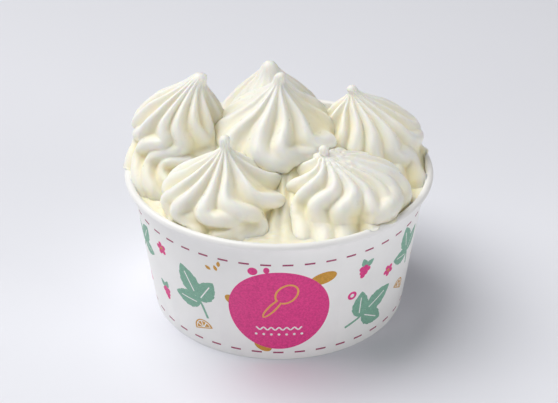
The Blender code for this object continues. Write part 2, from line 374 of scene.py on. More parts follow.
@dataclass(frozen=True)
class PaperFinish:
    """Coated white cup paper with a faint fibre relief."""

    name: str = "cup_paper"
    light: Colour = (0.905, 0.90, 0.89)
    shade: Colour = (0.87, 0.865, 0.855)
    roughness: float = 0.42
    patch_scale: float = 60.0
    patch_span: tuple[float, float] = (0.35, 0.65)
    gloss_scale: float = 35.0
    gloss_range: tuple[float, float] = (-0.05, 0.07)
    fibre_scale: float = 1500.0
    fibre_height: float = 0.00003
    fibre_strength: float = 0.5

    def build(self) -> bpy.types.Material:
        """Lay out the material.

        Returns:
            The material.
        """
        sheet = NodeSheet(self.name)
        patches = sheet.spread(sheet.noise(self.patch_scale, 6.0, 0.6), *self.patch_span,
                               0.0, 1.0)
        sheet.join(sheet.blend(patches, self.light, self.shade),
                   sheet.shader.inputs["Base Color"])
        gloss = sheet.spread(sheet.noise(self.gloss_scale, 2.0), *NOISE_SPAN,
                             *(self.roughness + part for part in self.gloss_range))
        sheet.join(gloss, sheet.shader.inputs["Roughness"])
        fibres = sheet.relief(sheet.noise(self.fibre_scale, 4.0, 0.65), self.fibre_height,
                              self.fibre_strength)
        sheet.join(fibres, sheet.shader.inputs["Normal"])
        return sheet.material


@dataclass(frozen=True)
class InkFinish:
    """Flat printing ink on cup paper, mottled where the paper drinks it."""

    name: str
    colour: Colour
    mottle: float = 0.13
    roughness: float = 0.5
    lift: float = 0.012
    speck_scale: float = 1100.0
    speck_span: tuple[float, float] = (0.36, 0.64)
    gloss_scale: float = 300.0
    gloss_range: tuple[float, float] = (-0.06, 0.08)
    fibre_scale: float = 1500.0
    fibre_height: float = 0.00003
    fibre_strength: float = 0.6

    def build(self) -> bpy.types.Material:
        """Lay out the material.

        Returns:
            The material.
        """
        sheet = NodeSheet(self.name)
        light = tuple(min(1.0, part * (1.0 + self.mottle) + self.lift) for part in self.colour)
        deep = tuple(part * (1.0 - self.mottle) for part in self.colour)
        specks = sheet.spread(sheet.noise(self.speck_scale, 5.0, 0.7), *self.speck_span,
                              0.0, 1.0)
        sheet.join(sheet.blend(specks, deep, light), sheet.shader.inputs["Base Color"])
        gloss = sheet.spread(sheet.noise(self.gloss_scale, 2.0), *NOISE_SPAN,
                             *(self.roughness + part for part in self.gloss_range))
        sheet.join(gloss, sheet.shader.inputs["Roughness"])
        fibres = sheet.relief(sheet.noise(self.fibre_scale, 4.0, 0.65), self.fibre_height,
                              self.fibre_strength)
        sheet.join(fibres, sheet.shader.inputs["Normal"])
        return sheet.material


@dataclass(frozen=True)
class FloorFinish:
    """Matt pale studio floor, with painted shade that makes it a little darker towards the back.
    """

    name: str = "studio_floor"
    colour: Colour = (0.81, 0.823, 0.885)
    falloff_share: float = 0.88
    falloff_distance: float = 0.4
    cloud_scale: float = 3.0
    cloud_share: float = 0.04
    roughness: float = 0.75
    specular: float = 0.2

    def build(self) -> bpy.types.Material:
        """Lay out the material.

        Returns:
            The material.
        """
        sheet = NodeSheet(self.name)
        # Painted shade of light falling off: the colour darkens towards the back.
        far_shade = tuple(part * self.falloff_share for part in self.colour)
        place = sheet.add("ShaderNodeTexCoord")
        split = sheet.add("ShaderNodeSeparateXYZ")
        sheet.join(place.outputs["Object"], split.inputs[0])
        back = sheet.spread(split.outputs["Y"], 0.0, self.falloff_distance, 0.0,
                            1.0 - self.cloud_share)
        clouds = sheet.spread(sheet.noise(self.cloud_scale, 3.0), *NOISE_SPAN,
                              0.0, self.cloud_share)
        share = sheet.add("ShaderNodeMath", operation="ADD", use_clamp=True)
        sheet.join(back, share.inputs[0])
        sheet.join(clouds, share.inputs[1])
        colour = sheet.blend(share.outputs["Value"], self.colour, far_shade)
        sheet.join(colour, sheet.shader.inputs["Base Color"])
        sheet.shader.inputs["Roughness"].default_value = self.roughness
        sheet.shader.inputs["Specular IOR Level"].default_value = self.specular
        return sheet.material


@dataclass
class CupShape:
    """Sizes of the paper bowl in millimetres, as the CAD pieces have them."""

    height: float = 67.5
    foot_radius: float = 59.5
    rim_radius: float = 71.0
    curl_radius: float = 1.75
    paper: float = 0.5
    gap: float = 0.3
    fold: float = 0.3
    hem_height: float = 5.0
    fill_level: float = 60.5
    fill_bottom: float = 6.8
    slack: float = 0.12

    def __post_init__(self) -> None:
        """Work out the sizes that follow from the others."""
        self.curl_r = self.rim_radius - self.curl_radius
        self.curl_z = self.height - self.curl_radius
        top = self.curl_r - self.curl_radius + self.paper
        self.taper = (top - self.foot_radius) / self.curl_z
        self.foot_edge = 1.1 * self.fold

    def inside(self, z: np.ndarray) -> np.ndarray:
        """Radius of the wall's inner face at a height."""
        return self.foot_radius - self.paper + self.taper * z

    def keep_inside(self, points: np.ndarray) -> np.ndarray:
        """Press food points back from the wall and up off the rolled rim.

        Args:
            points: Places in millimetres.

        Returns:
            The pressed places.
        """
        radius = np.hypot(points[..., 0], points[..., 1])
        z = points[..., 2]
        room = self.curl_radius + self.slack
        limit = self.inside(np.minimum(z, self.curl_z)) - self.slack
        pressed = np.where(z < self.curl_z, np.minimum(radius, limit), radius)
        reach = np.clip(np.abs(pressed - self.curl_r) / room, 0.0, 1.0)
        top = self.curl_z + room * np.sqrt(1.0 - reach * reach)
        over = (z >= self.curl_z) & (pressed > self.curl_r - room)
        top = np.where(pressed > self.curl_r, self.curl_z + room, top)
        lifted = np.where(over, np.maximum(z, top), z)
        scale = pressed / np.maximum(radius, 1.0e-6)
        return np.stack([points[..., 0] * scale, points[..., 1] * scale, lifted], axis=-1)


@dataclass(frozen=True)
class Rope:
    """One listed rope: (angle, height) pairs from the top down, degrees and mm."""

    course: tuple[tuple[float, float], ...]
    stout: float = 1.0
    bold: float = 1.0
    from_tip: bool = True


@dataclass(frozen=True)
class Piping:
    """What all the swirls share: how their ropes run and settle; millimetres and shares."""

    start_drop: float = 0.4
    place_gap: float = 0.8
    corner_rounds: int = 3
    rear_share: float = 0.25
    rear_cos: float = -0.5
    front_cos: float = 0.4
    nub_fade: float = 1.6
    flare_speed: float = 1.3
    shift_start: float = 2.0
    shift_reach: float = 0.7
    fold_share: float = 0.45
    fold_height: float = 5.0
    recess_drop: float = 8.0
    recess_height: float = 3.6
    uneven: float = 0.055
    uneven_growth: float = 1.5
    jog_range: tuple[float, float] = (0.8, 1.2)
    curl_range: tuple[float, float] = (0.4, 1.3)
    fold_range: tuple[float, float] = (-0.9, 0.9)
    turn_range: tuple[float, float] = (-1.5, 1.5)
    end_range: tuple[float, float] = (-2.0, 2.0)
    sway_range: tuple[float, float] = (-0.12, 0.12)
    start_range: tuple[float, float] = (-0.13, 0.13)
    stout_range: tuple[float, float] = (0.84, 1.18)
    bold_range: tuple[float, float] = (0.85, 1.0)
    thin_share: float = 0.85
    stout_gain: float = 0.35
    least_radius: float = 1.2
    crest_steepness: float = 6.0
    crest_power: float = 2.4
    join_power: int = 6
    join_limit: float = 1.6
    upper_rows: float = 0.64
    upper_crowding: float = 1.2
    bare_tip: float = 0.6
    grown_at: float = 0.85
    growth_power: float = 0.6
    uneven_ropes: float = 0.15
    low_gain: float = 0.2
    low_start: float = 2.0
    low_reach: float = 6.0
    sunk_share: float = 0.45
    lump_size: float = 8.0
    lump_height: float = 0.5
    crumb_size: float = 1.1
    torn_level: float = 0.2
    torn_reach: float = 0.1
    streak_count: float = 22.0
    streak_turns: float = 3.0
    streak_height: float = 0.12
    # Shares of painted warm bounce light: in valleys, under the fold, low down and in seams.
    valley_bounce: float = 0.95
    recess_bounce: float = 0.3
    foot_bounce: float = 0.3
    foot_z: float = 80.0
    foot_reach: float = 16.0
    bounce_share: float = 0.9
    streak_depth: float = 0.03
    seam_bounce: float = 0.6
    seam_reach: float = 2.5


@dataclass
class PipedSwirl:
    """One piped swirl of yogurt; lengths in millimetres and angles in degrees.

    Angles run round the swirl from its front, rising to the right.
    """

    name: str
    foot: tuple[float, float]
    tip: tuple[float, float, float]
    girth: float
    girth_z: float
    pull: float
    lean: float
    nub: float
    nub_height: float
    ropes: int
    first_rope: float
    rope_height: float
    jog: float
    jog_z: float
    jog_drop: float
    jog_tilt: float
    jog_side: float
    curl: float
    curl_z: float
    end_z: float
    tuck: float
    flare: float
    low_shift: tuple[float, float]
    seed: int
    laid: tuple[Rope, ...] = ()
    rope_share: float = 0.33
    calm_side: float = 180.0
    calm: float = 0.3
    ragged: float = 0.0
    floor_z: float = 56.0
    columns: int = 230
    rings: int = 176
    piping: Piping = Piping()

    def level_at(self, z: np.ndarray) -> np.ndarray:
        """Level of a height.

        Args:
            z: Heights in millimetres.

        Returns:
            0 at the tip, 1 at the girth and 2 at the floor.
        """
        upper = (self.tip[2] - z) / (self.tip[2] - self.girth_z)
        lower = (self.girth_z - z) / (self.girth_z - self.floor_z)
        return np.clip(np.where(z > self.girth_z, upper, 1.0 + lower), 0.0, 2.0)

    def facing(self, angle: np.ndarray) -> np.ndarray:
        """Share of the sideways jog that the ropes have, which fades towards the back.

        Args:
            angle: Angles round the swirl in radians, from the front.

        Returns:
            Values from the rear share to 1.
        """
        how = self.piping
        turned = (np.cos(angle) - how.rear_cos) / (how.front_cos - how.rear_cos)
        return how.rear_share + (1.0 - how.rear_share) * ease(turned)

    def body(self, angle: np.ndarray, level: np.ndarray) -> dict[str, np.ndarray]:
        """Work out the swirl without its ropes.

        Args:
            angle: Angle round the swirl in radians, from the front.
            level: 0 at the tip, 1 at the girth and 2 at the floor.

        Returns:
            The places, the radius, and how strong the recess under the fold is.
        """
        how = self.piping
        upper = np.clip(level, 0.0, 1.0)
        lower = np.clip(level - 1.0, 0.0, 1.0)
        drop = self.tip[2] - self.girth_z
        z = self.tip[2] - drop * upper - (self.girth_z - self.floor_z) * lower

        neck_share = self.nub_height / drop
        opened = np.clip((upper - neck_share) / (1.0 - neck_share), 0.0, 1.0)
        cone = self.girth * np.sin(0.5 * math.pi * opened ** self.pull)
        below = drop * upper / self.nub
        bead = np.sqrt(np.clip(1.0 - (below - 1.0) ** 2, 0.0, 1.0))
        past = np.maximum(below - 1.0 - self.nub_height / self.nub, 0.0)
        nub = self.nub * np.where(below > 1.0, np.exp(-(past / how.nub_fade) ** 2), bead)
        radius = (cone ** 3 + nub ** 3) ** (1.0 / 3.0)
        radius = radius + self.girth * (self.flare - 1.0) * ease(how.flare_speed * lower)

        fold = self.jog_z + self.jog_tilt * np.cos(angle - math.radians(self.jog_side))
        bulge = np.exp(-((z - fold) / how.fold_height) ** 2)
        under = np.exp(-((z - fold + how.recess_drop) / how.recess_height) ** 2)
        stout = np.clip(radius / self.girth, 0.0, 1.0)
        radius = radius + self.tuck * (how.fold_share * bulge - under) * stout
        uneven = ripple(angle, self.seed + 7, (2, 3, 5), how.uneven)
        radius = radius * (1.0 + uneven * ease(how.uneven_growth * stout))

        axis = (1.0 - opened) ** self.lean
        reach = how.shift_reach * (self.girth_z - self.floor_z)
        spread = ease((self.girth_z + how.shift_start - z) / reach)
        x = self.foot[0] + (self.tip[0] - self.foot[0]) * axis + self.low_shift[0] * spread
        y = self.foot[1] + (self.tip[1] - self.foot[1]) * axis + self.low_shift[1] * spread
        places = np.stack([x + radius * np.sin(angle), y - radius * np.cos(angle), z], axis=-1)
        return {"places": places, "radius": radius, "under": under}

    def outward(self, angle: np.ndarray, level: np.ndarray) -> np.ndarray:
        """Directions that point straight out of the body.

        Args:
            angle: Angle round the swirl in radians.
            level: Place from tip to floor, 0 to 2.

        Returns:
            Unit vectors.
        """
        step = 1.0e-3
        across = self.body(angle + step, level)["places"]
        across = across - self.body(angle - step, level)["places"]
        down = self.body(angle, level + step)["places"] - self.body(angle, level - step)["places"]
        normal = np.cross(down, across)
        length = np.linalg.norm(normal, axis=-1, keepdims=True)
        up = np.array([0.0, 0.0, 1.0])
        return np.where(length > 1.0e-12, normal / np.maximum(length, 1.0e-12), up)

    def plain_line(self, start: float, number: int) -> np.ndarray:
        """Corners of a rope that isn't listed: down, sideways, down and curled in.

        Args:
            start: Its angle at the tip, in radians.
            number: Its number, for the uneven parts.

        Returns:
            Rows of height and angle.
        """
        how = self.piping
        rng = np.random.default_rng(self.seed * 97 + number)
        front = float(self.facing(np.array(start)))
        jog = math.radians(self.jog) * rng.uniform(*how.jog_range) * front
        curl = math.radians(self.curl) * rng.uniform(*how.curl_range) * front
        side = start + 0.5 * jog - math.radians(self.jog_side)
        fold = self.jog_z + self.jog_tilt * math.cos(side) + rng.uniform(*how.fold_range)
        half = 0.5 * self.jog_drop
        turn_z = self.curl_z + rng.uniform(*how.turn_range)
        end_z = self.end_z + rng.uniform(*how.end_range)
        sway = rng.uniform(*how.sway_range) * TURN / self.ropes
        top = self.tip[2] - how.start_drop
        return np.array([(top, start), (fold + 2.4 * half, start + sway),
                         (fold + half, start + 0.04 * jog), (fold, start + 0.5 * jog),
                         (fold - half, start + 0.98 * jog), (fold - half - 2.5, start + jog),
                         (turn_z + 1.5, start + jog), (turn_z - 1.0, start + jog - 0.8 * curl),
                         (end_z, start + jog - curl)])

    def laid_line(self, rope: Rope) -> np.ndarray:
        """Corners of a listed rope.

        Args:
            rope: The rope.

        Returns:
            Rows of height and angle in radians.
        """
        line = np.array([(z, math.radians(angle)) for angle, z in rope.course])
        if rope.from_tip:
            top = self.tip[2] - self.piping.start_drop
            line = np.vstack([[(top, line[0, 1])], line])
        return line

    def on_body(self, line: np.ndarray) -> np.ndarray:
        """Round off a rope's corners and lay it over the body.

        Args:
            line: Rows of height and angle.

        Returns:
            Places an even distance apart.
        """
        for _ in range(self.piping.corner_rounds):
            first = 0.75 * line[:-1] + 0.25 * line[1:]
            second = 0.25 * line[:-1] + 0.75 * line[1:]
            cut = np.stack([first, second], axis=1).reshape(-1, 2)
            line = np.vstack([line[:1], cut, line[-1:]])
        places = self.body(line[:, 1], self.level_at(line[:, 0]))["places"]
        steps = np.linalg.norm(np.diff(places, axis=0), axis=1)
        along = np.concatenate([[0.0], np.cumsum(steps)])
        even = np.linspace(0.0, along[-1], max(int(along[-1] / self.piping.place_gap), 8))
        return np.stack([np.interp(even, along, places[:, axis]) for axis in range(3)], axis=-1)

    def rope_lines(self) -> list[tuple[np.ndarray, float, float]]:
        """Lay every rope: the listed ones, then plain ones in the arc that they leave.

        Returns:
            Each rope's places, how stout and how bold it is.
        """
        how = self.piping
        lines = [(self.on_body(self.laid_line(rope)), rope.stout, rope.bold) for rope in self.laid]
        gap = TURN / self.ropes
        first = math.radians(self.first_rope)
        last = first + TURN - gap
        if self.laid:
            middles = [float(np.mean([angle for angle, _ in rope.course])) for rope in self.laid]
            first = math.radians(max(middles)) + gap
            last = math.radians(min(middles)) + TURN - gap
        count = max(int(round((last - first) / gap)), 1)
        for number in range(count + 1):
            rng = np.random.default_rng(self.seed * 53 + number)
            start = first + (last - first) * number / count + rng.uniform(*how.start_range) * gap
            line = self.on_body(self.plain_line(start, number))
            lines.append((line, rng.uniform(*how.stout_range), rng.uniform(*how.bold_range)))
        return lines

    def rope_relief(self, places: np.ndarray, radius: np.ndarray) -> np.ndarray:
        """Share of full rope height at every place, by its distance from the ropes.

        Args:
            places: Places on the body.
            radius: Radius of the body there.

        Returns:
            Values from 0 in the valleys to 1 on the crests.
        """
        how = self.piping
        flat = places.reshape(-1, 3)
        reach = radius.ravel()
        grown = how.thin_share + how.stout_gain * np.clip(reach / self.girth, 0.0, 1.0) ** 2
        half = self.rope_share * TURN * np.maximum(reach, how.least_radius) / self.ropes * grown
        total = np.zeros(len(flat))
        for course, stout, bold in self.rope_lines():
            near = np.full(len(flat), 1.0e9)
            for first, second in zip(course[:-1], course[1:]):
                span = second - first
                share = np.clip((flat - first) @ span / (span @ span), 0.0, 1.0)
                gap = flat - first - share[:, None] * span
                near = np.minimum(near, np.einsum("ij,ij->i", gap, gap))
            away = np.sqrt(near) / (half * stout)
            crest = np.exp(-how.crest_steepness * away ** how.crest_power)
            total += bold ** how.join_power * crest
        return np.minimum(total, how.join_limit).reshape(radius.shape) ** (1.0 / how.join_power)

    def skin(self) -> tuple[np.ndarray, np.ndarray]:
        """Work out the roped surface and how much painted warm bounce light each point gets.

        Returns:
            Points in rings from tip to floor, and their painted bounce values.
        """
        how = self.piping
        share = np.linspace(0.0, 1.0, self.rings + 1)[1:]
        cut = how.upper_rows
        rows = np.where(share < cut, (share / cut) ** how.upper_crowding,
                        1.0 + (share - cut) / (1.0 - cut))
        angle, level = np.meshgrid(TURN * np.arange(self.columns) / self.columns, rows)
        body = self.body(angle, level)
        places = body["places"]
        stout = np.clip(body["radius"] / self.girth, 0.0, 1.0)
        rope = self.rope_relief(places, body["radius"])
        bare = how.bare_tip * self.nub
        growth = ease((body["radius"] - bare) / (how.grown_at * self.girth)) ** how.growth_power
        quiet = ease(0.5 + 0.5 * np.cos(angle - math.radians(self.calm_side)))
        uneven = ripple(angle, self.seed + 9, (2, 4), how.uneven_ropes)
        strength = (1.0 - self.calm * quiet) * (1.0 + uneven)
        low = ease((self.jog_z + how.low_start - places[..., 2]) / how.low_reach)
        strength = strength * (1.0 + how.low_gain * low)
        height = self.rope_height * growth * strength

        lumps = grain(places / how.lump_size, self.seed + 2)
        crumbs = grain(places / how.crumb_size, self.seed + 3)
        turned = [angle * how.streak_count, level * how.streak_turns, np.zeros_like(angle)]
        streaks = grain(np.stack(turned, axis=-1), self.seed)
        torn = np.exp(-((level - how.torn_level) / how.torn_reach) ** 2)
        fine = how.streak_height * streaks * growth + how.lump_height * lumps * growth
        fine = fine + self.ragged * crumbs * torn
        lift = height * (rope - how.sunk_share) + fine
        points = places + self.outward(angle, level) * lift[..., None]
        # Painted warm bounce light: in the valleys between ropes, in the recess under the fold and
        # low in the cup.
        bounce = how.valley_bounce * (1.0 - rope) * growth * strength
        bounce = bounce + how.recess_bounce * body["under"] * stout
        bounce = bounce + how.foot_bounce * ease((how.foot_z - points[..., 2]) / how.foot_reach)
        return points, np.clip(how.bounce_share * bounce + how.streak_depth * streaks, 0.0, 1.0)

    def gap_to(self, points: np.ndarray) -> np.ndarray:
        """Measure roughly how far each point lies outside the swirl's body.

        Args:
            points: Places in millimetres.

        Returns:
            Distances in millimetres, 0 inside.
        """
        level = self.level_at(points[..., 2])
        zero = np.zeros_like(level)
        body = self.body(zero, level)
        east = points[..., 0] - body["places"][..., 0]
        north = points[..., 1] - body["places"][..., 1] - body["radius"]
        reach = np.hypot(east, north) - body["radius"]
        return np.maximum(reach, 0.0) + np.maximum(points[..., 2] - self.tip[2], 0.0)

    def build(self, cup: CupShape, others: list["PipedSwirl"]) -> bpy.types.Object:
        """Make the swirl's mesh.

        Args:
            cup: The cup that it must stay clear of.
            others: The swirls around it, whose warm bounce light is painted into the seams.

        Returns:
            The piece, with its painted bounce values.
        """
        how = self.piping
        points, painted_bounce = self.skin()
        points = cup.keep_inside(points)
        # Painted warm bounce light in the seams next to the other swirls.
        for other in others:
            warm = how.seam_bounce * np.exp(-(other.gap_to(points) / how.seam_reach) ** 2)
            painted_bounce = np.maximum(painted_bounce, warm)
        rings, columns = painted_bounce.shape
        floor = points[-1].mean(axis=0)
        verts = np.vstack([points.reshape(-1, 3), [self.tip], [floor]])
        faces = grid_faces(rings, columns)
        close_ends(faces, rings, columns)
        piece = new_piece(self.name + "_piped", verts, faces, "yogurt")
        write_painted_bounce(piece, np.append(painted_bounce.ravel(), [0.0, 1.0]))
        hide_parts(self.name)
        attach(piece, "root")
        return piece


@dataclass
class Topping:
    """The six swirls on top of the filling."""

    swirls: tuple[PipedSwirl, ...] = (
        PipedSwirl(
            "swirl_front_left", foot=(-23.6, -31.0), tip=(-23.4, -30.0, 98.3), girth=25.8,
            girth_z=70.0, pull=1.75, lean=2.0, nub=2.4, nub_height=0.6, ropes=13,
            first_rope=3.5, rope_height=5.2, jog=30.0, jog_z=76.0, jog_drop=5.5,
            jog_tilt=2.0, jog_side=90.0, curl=20.0, curl_z=65.5, end_z=60.0, tuck=1.4,
            flare=0.97, low_shift=(0.0, -3.5), seed=23, laid=(
                Rope(((9, 93), (7, 88.5), (5, 84), (1, 80), (3, 77.2), (14, 75.2), (28, 72.2),
                      (38, 68), (40, 64.5), (31, 62.5), (18, 63)), 1.1),
                Rope(((-17, 93), (-19, 88.4), (-18, 84), (-18, 79.6), (-21, 76), (-20, 72.8),
                      (-12, 71), (0, 71.2), (9, 69.8), (11, 67), (6, 65), (-6, 64)), 1.1),
                Rope(((-40, 93), (-39, 87), (-39, 82.5), (-42, 77.8), (-48, 74), (-50, 70),
                      (-45, 67.4), (-34, 67.2), (-28, 64)), 1.05),
                Rope(((-66, 93), (-60, 86.4), (-60, 82), (-64, 77.2), (-71, 73), (-70, 69),
                      (-62, 65)), 0.95),
                Rope(((-90, 91.5), (-86, 86.4), (-92, 80), (-98, 75.2), (-94, 70)), 0.9),
                Rope(((36, 93), (38, 88.4), (38, 84), (36, 79.6), (42, 76.6), (56, 74.4),
                      (70, 70.8), (73, 66.5), (60, 65)), 1.0),
                Rope(((70, 92.4), (74, 88.1), (76, 84), (82, 80), (97, 76), (108, 73.5)), 0.9),
                Rope(((10, 68), (21, 66.8), (29, 66.4)), 1.0, 0.78, False))),
        PipedSwirl(
            "swirl_front_right", foot=(30.4, -28.0), tip=(19.5, -28.0, 92.0), girth=27.8,
            girth_z=66.0, pull=0.85, lean=4.5, nub=2.3, nub_height=3.4, ropes=13,
            first_rope=0.0, rope_height=5.2, jog=-30.0, jog_z=76.5, jog_drop=7.0,
            jog_tilt=3.5, jog_side=-90.0, curl=-16.0, curl_z=66.0, end_z=58.0, tuck=1.2,
            flare=1.13, low_shift=(0.0, -5.5), seed=29, calm_side=120.0, calm=0.6,
            ragged=0.6, laid=(
                Rope(((-62, 87), (-56, 84), (-64, 80.6), (-79, 75.5), (-84, 69.5), (-72, 65.8),
                      (-60, 60)), 1.1),
                Rope(((-42, 87), (-40, 84), (-45, 80.6), (-54, 76.6), (-58, 71.7), (-51, 67.3),
                      (-43, 63.8), (-38, 58)), 1.1),
                Rope(((-19, 87), (-15, 82.8), (-17, 79.8), (-30, 77.2), (-36, 73.6), (-30, 69),
                      (-23, 64.7), (-19, 58)), 1.15),
                Rope(((0, 86), (7, 83), (10, 79.8), (3, 77.2), (-8, 74.3), (-10, 70),
                      (-4, 65.4), (0, 58)), 1.2),
                Rope(((15, 86), (24, 82.9), (28, 79.5), (24, 76.3), (24, 73.6)), 0.9, 0.85),
                Rope(((46, 73.6), (36, 72), (25, 69.6), (20, 66), (24, 60)), 1.0, 1.0, False),
                Rope(((40, 86), (52, 82.6), (50, 78), (44, 74.1), (46, 68), (38, 64)), 0.8,
                     0.7))),
        PipedSwirl(
            "swirl_centre", foot=(-2.0, 4.0), tip=(0.8, 3.0, 112.5), girth=29.0,
            girth_z=80.0, pull=1.42, lean=3.0, nub=2.5, nub_height=0.6, ropes=13,
            first_rope=7.5, rope_height=4.6, rope_share=0.3, jog=-8.0, jog_z=84.0, jog_drop=8.0,
            jog_tilt=1.0, jog_side=-90.0, curl=-10.0, curl_z=76.0, end_z=72.0, tuck=0.8,
            flare=0.55, low_shift=(0.0, -2.0), seed=3, calm_side=-110.0, calm=0.4, laid=(
                Rope(((-8, 107), (-12, 101), (-16, 96.4), (-18, 91.7), (-17, 87.7), (-12, 84),
                      (-4, 81.5), (8, 80.5)), 1.2),
                Rope(((15, 107), (17, 101), (17, 96.4), (12, 92.4), (6, 88.4), (9, 85.2),
                      (22, 83), (36, 82.5)), 1.1),
                Rope(((43, 107), (45, 101.4), (46, 96.4), (41, 91.7), (39, 88.4), (48, 85.5),
                      (62, 84.5)), 1.1),
                Rope(((82, 105.8), (86, 99.4), (93, 94.1), (94, 89), (92, 86)), 0.9, 0.5),
                Rope(((-33, 106.8), (-36, 99.8), (-45, 94.4), (-52, 89.7), (-50, 85)), 0.95,
                     0.85),
                Rope(((-60, 107), (-64, 100), (-77, 93.1), (-87, 87), (-85, 81.7)), 0.9, 0.75),
                Rope(((-100, 106), (-108, 97), (-112, 90), (-110, 84)), 0.85, 0.7))),
        PipedSwirl(
            "swirl_left", foot=(-46.0, 9.0), tip=(-36.0, 10.0, 109.0), girth=20.6,
            girth_z=81.0, pull=1.02, lean=2.2, nub=4.5, nub_height=1.6, ropes=14,
            first_rope=-10.0, rope_height=3.8, jog=-38.0, jog_z=79.0, jog_drop=4.5,
            jog_tilt=5.0, jog_side=-90.0, curl=-22.0, curl_z=66.0, end_z=57.0, tuck=0.8,
            flare=1.4, low_shift=(3.2, -7.0), seed=11, laid=(
                Rope(((20, 105.8), (24, 99.4), (21, 94), (26, 89.6), (40, 84.2)), 0.9, 0.8),
                Rope(((-4, 105.8), (-3, 98.5), (-4, 94), (-2, 89.6), (6, 85.9), (8, 82.6),
                      (0, 80.4), (-15, 79.7), (-30, 78), (-41, 74.2), (-38, 70), (-30, 66.5),
                      (-20, 63)), 1.0),
                Rope(((-25, 105.3), (-23, 97.5), (-26, 92.6), (-23, 88.8), (-14, 85.6),
                      (-18, 83.4), (-33, 82.8), (-50, 79.8), (-67, 74.6), (-60, 70), (-50, 66),
                      (-38, 61.5)), 1.0),
                Rope(((-44, 105), (-46, 98.5), (-47, 93.2), (-51, 89.4), (-57, 85), (-75, 81),
                      (-92, 77), (-88, 70), (-78, 62)), 1.0),
                Rope(((-66, 105.3), (-72, 99.6), (-82, 94.5), (-82, 88.8), (-90, 84)), 0.95),
                Rope(((12, 76.8), (-9, 77), (-20, 75), (-22, 72.2), (-17, 70.2), (-8, 69.5)),
                     0.8, 0.95, False))),
        PipedSwirl(
            "swirl_right", foot=(42.0, 12.0), tip=(33.3, 12.0, 101.8), girth=22.4,
            girth_z=77.0, pull=1.14, lean=1.7, nub=2.5, nub_height=1.8, ropes=14,
            first_rope=5.0, rope_height=3.8, jog=22.0, jog_z=75.0, jog_drop=5.0,
            jog_tilt=2.5, jog_side=90.0, curl=8.0, curl_z=66.0, end_z=57.0, tuck=1.0,
            flare=1.26, low_shift=(1.0, -8.0), seed=17, laid=(
                Rope(((-58, 97), (-50, 93.4), (-43, 89.4), (-38, 85.4), (-40, 78)), 0.9, 0.8),
                Rope(((-34, 97.8), (-22, 93.6), (-15, 90.1), (-16, 85.7), (-21, 80)), 1.0, 0.9),
                Rope(((-15, 98), (2, 94.4), (7, 90.6), (8, 86.7), (4, 82.5), (2, 76),
                      (4, 66)), 1.0),
                Rope(((8, 98.6), (22, 94.1), (29, 90.6), (31, 86.9), (29, 82.7), (24, 78.2),
                      (34, 75.5), (52, 74.6), (56, 70), (52, 62)), 1.1),
                Rope(((32, 99), (48, 95.4), (52, 91.1), (52, 86.7), (56, 82), (68, 78.5),
                      (86, 77)), 1.05),
                Rope(((58, 99.6), (74, 95.4), (76, 90.9), (78, 86.7), (84, 82.5), (96, 80)),
                     0.95, 0.9),
                Rope(((30, 72), (28, 66), (28, 58)), 0.8, 0.75, False))),
        PipedSwirl(
            "swirl_back", foot=(-4.0, 40.0), tip=(-4.6, 40.0, 101.0), girth=27.0,
            girth_z=64.0, pull=1.08, lean=3.0, nub=3.6, nub_height=0.2, ropes=15,
            first_rope=0.0, rope_height=3.0, jog=16.0, jog_z=75.0, jog_drop=6.0,
            jog_tilt=2.0, jog_side=90.0, curl=8.0, curl_z=66.0, end_z=60.0, tuck=1.4,
            flare=1.0, low_shift=(0.0, 0.0), seed=5, calm_side=0.0, calm=0.75),
    )

    def build(self, cup: CupShape, finish: bpy.types.Material) -> None:
        """Make and dress every swirl.

        Args:
            cup: The cup that they stand in.
            finish: The yogurt's material.
        """
        for swirl in self.swirls:
            others = [other for other in self.swirls if other is not swirl]
            piece = swirl.build(cup, others)
            piece.data.materials.append(finish)
            LOG.info("%s: %d faces", piece.name, len(piece.data.polygons))


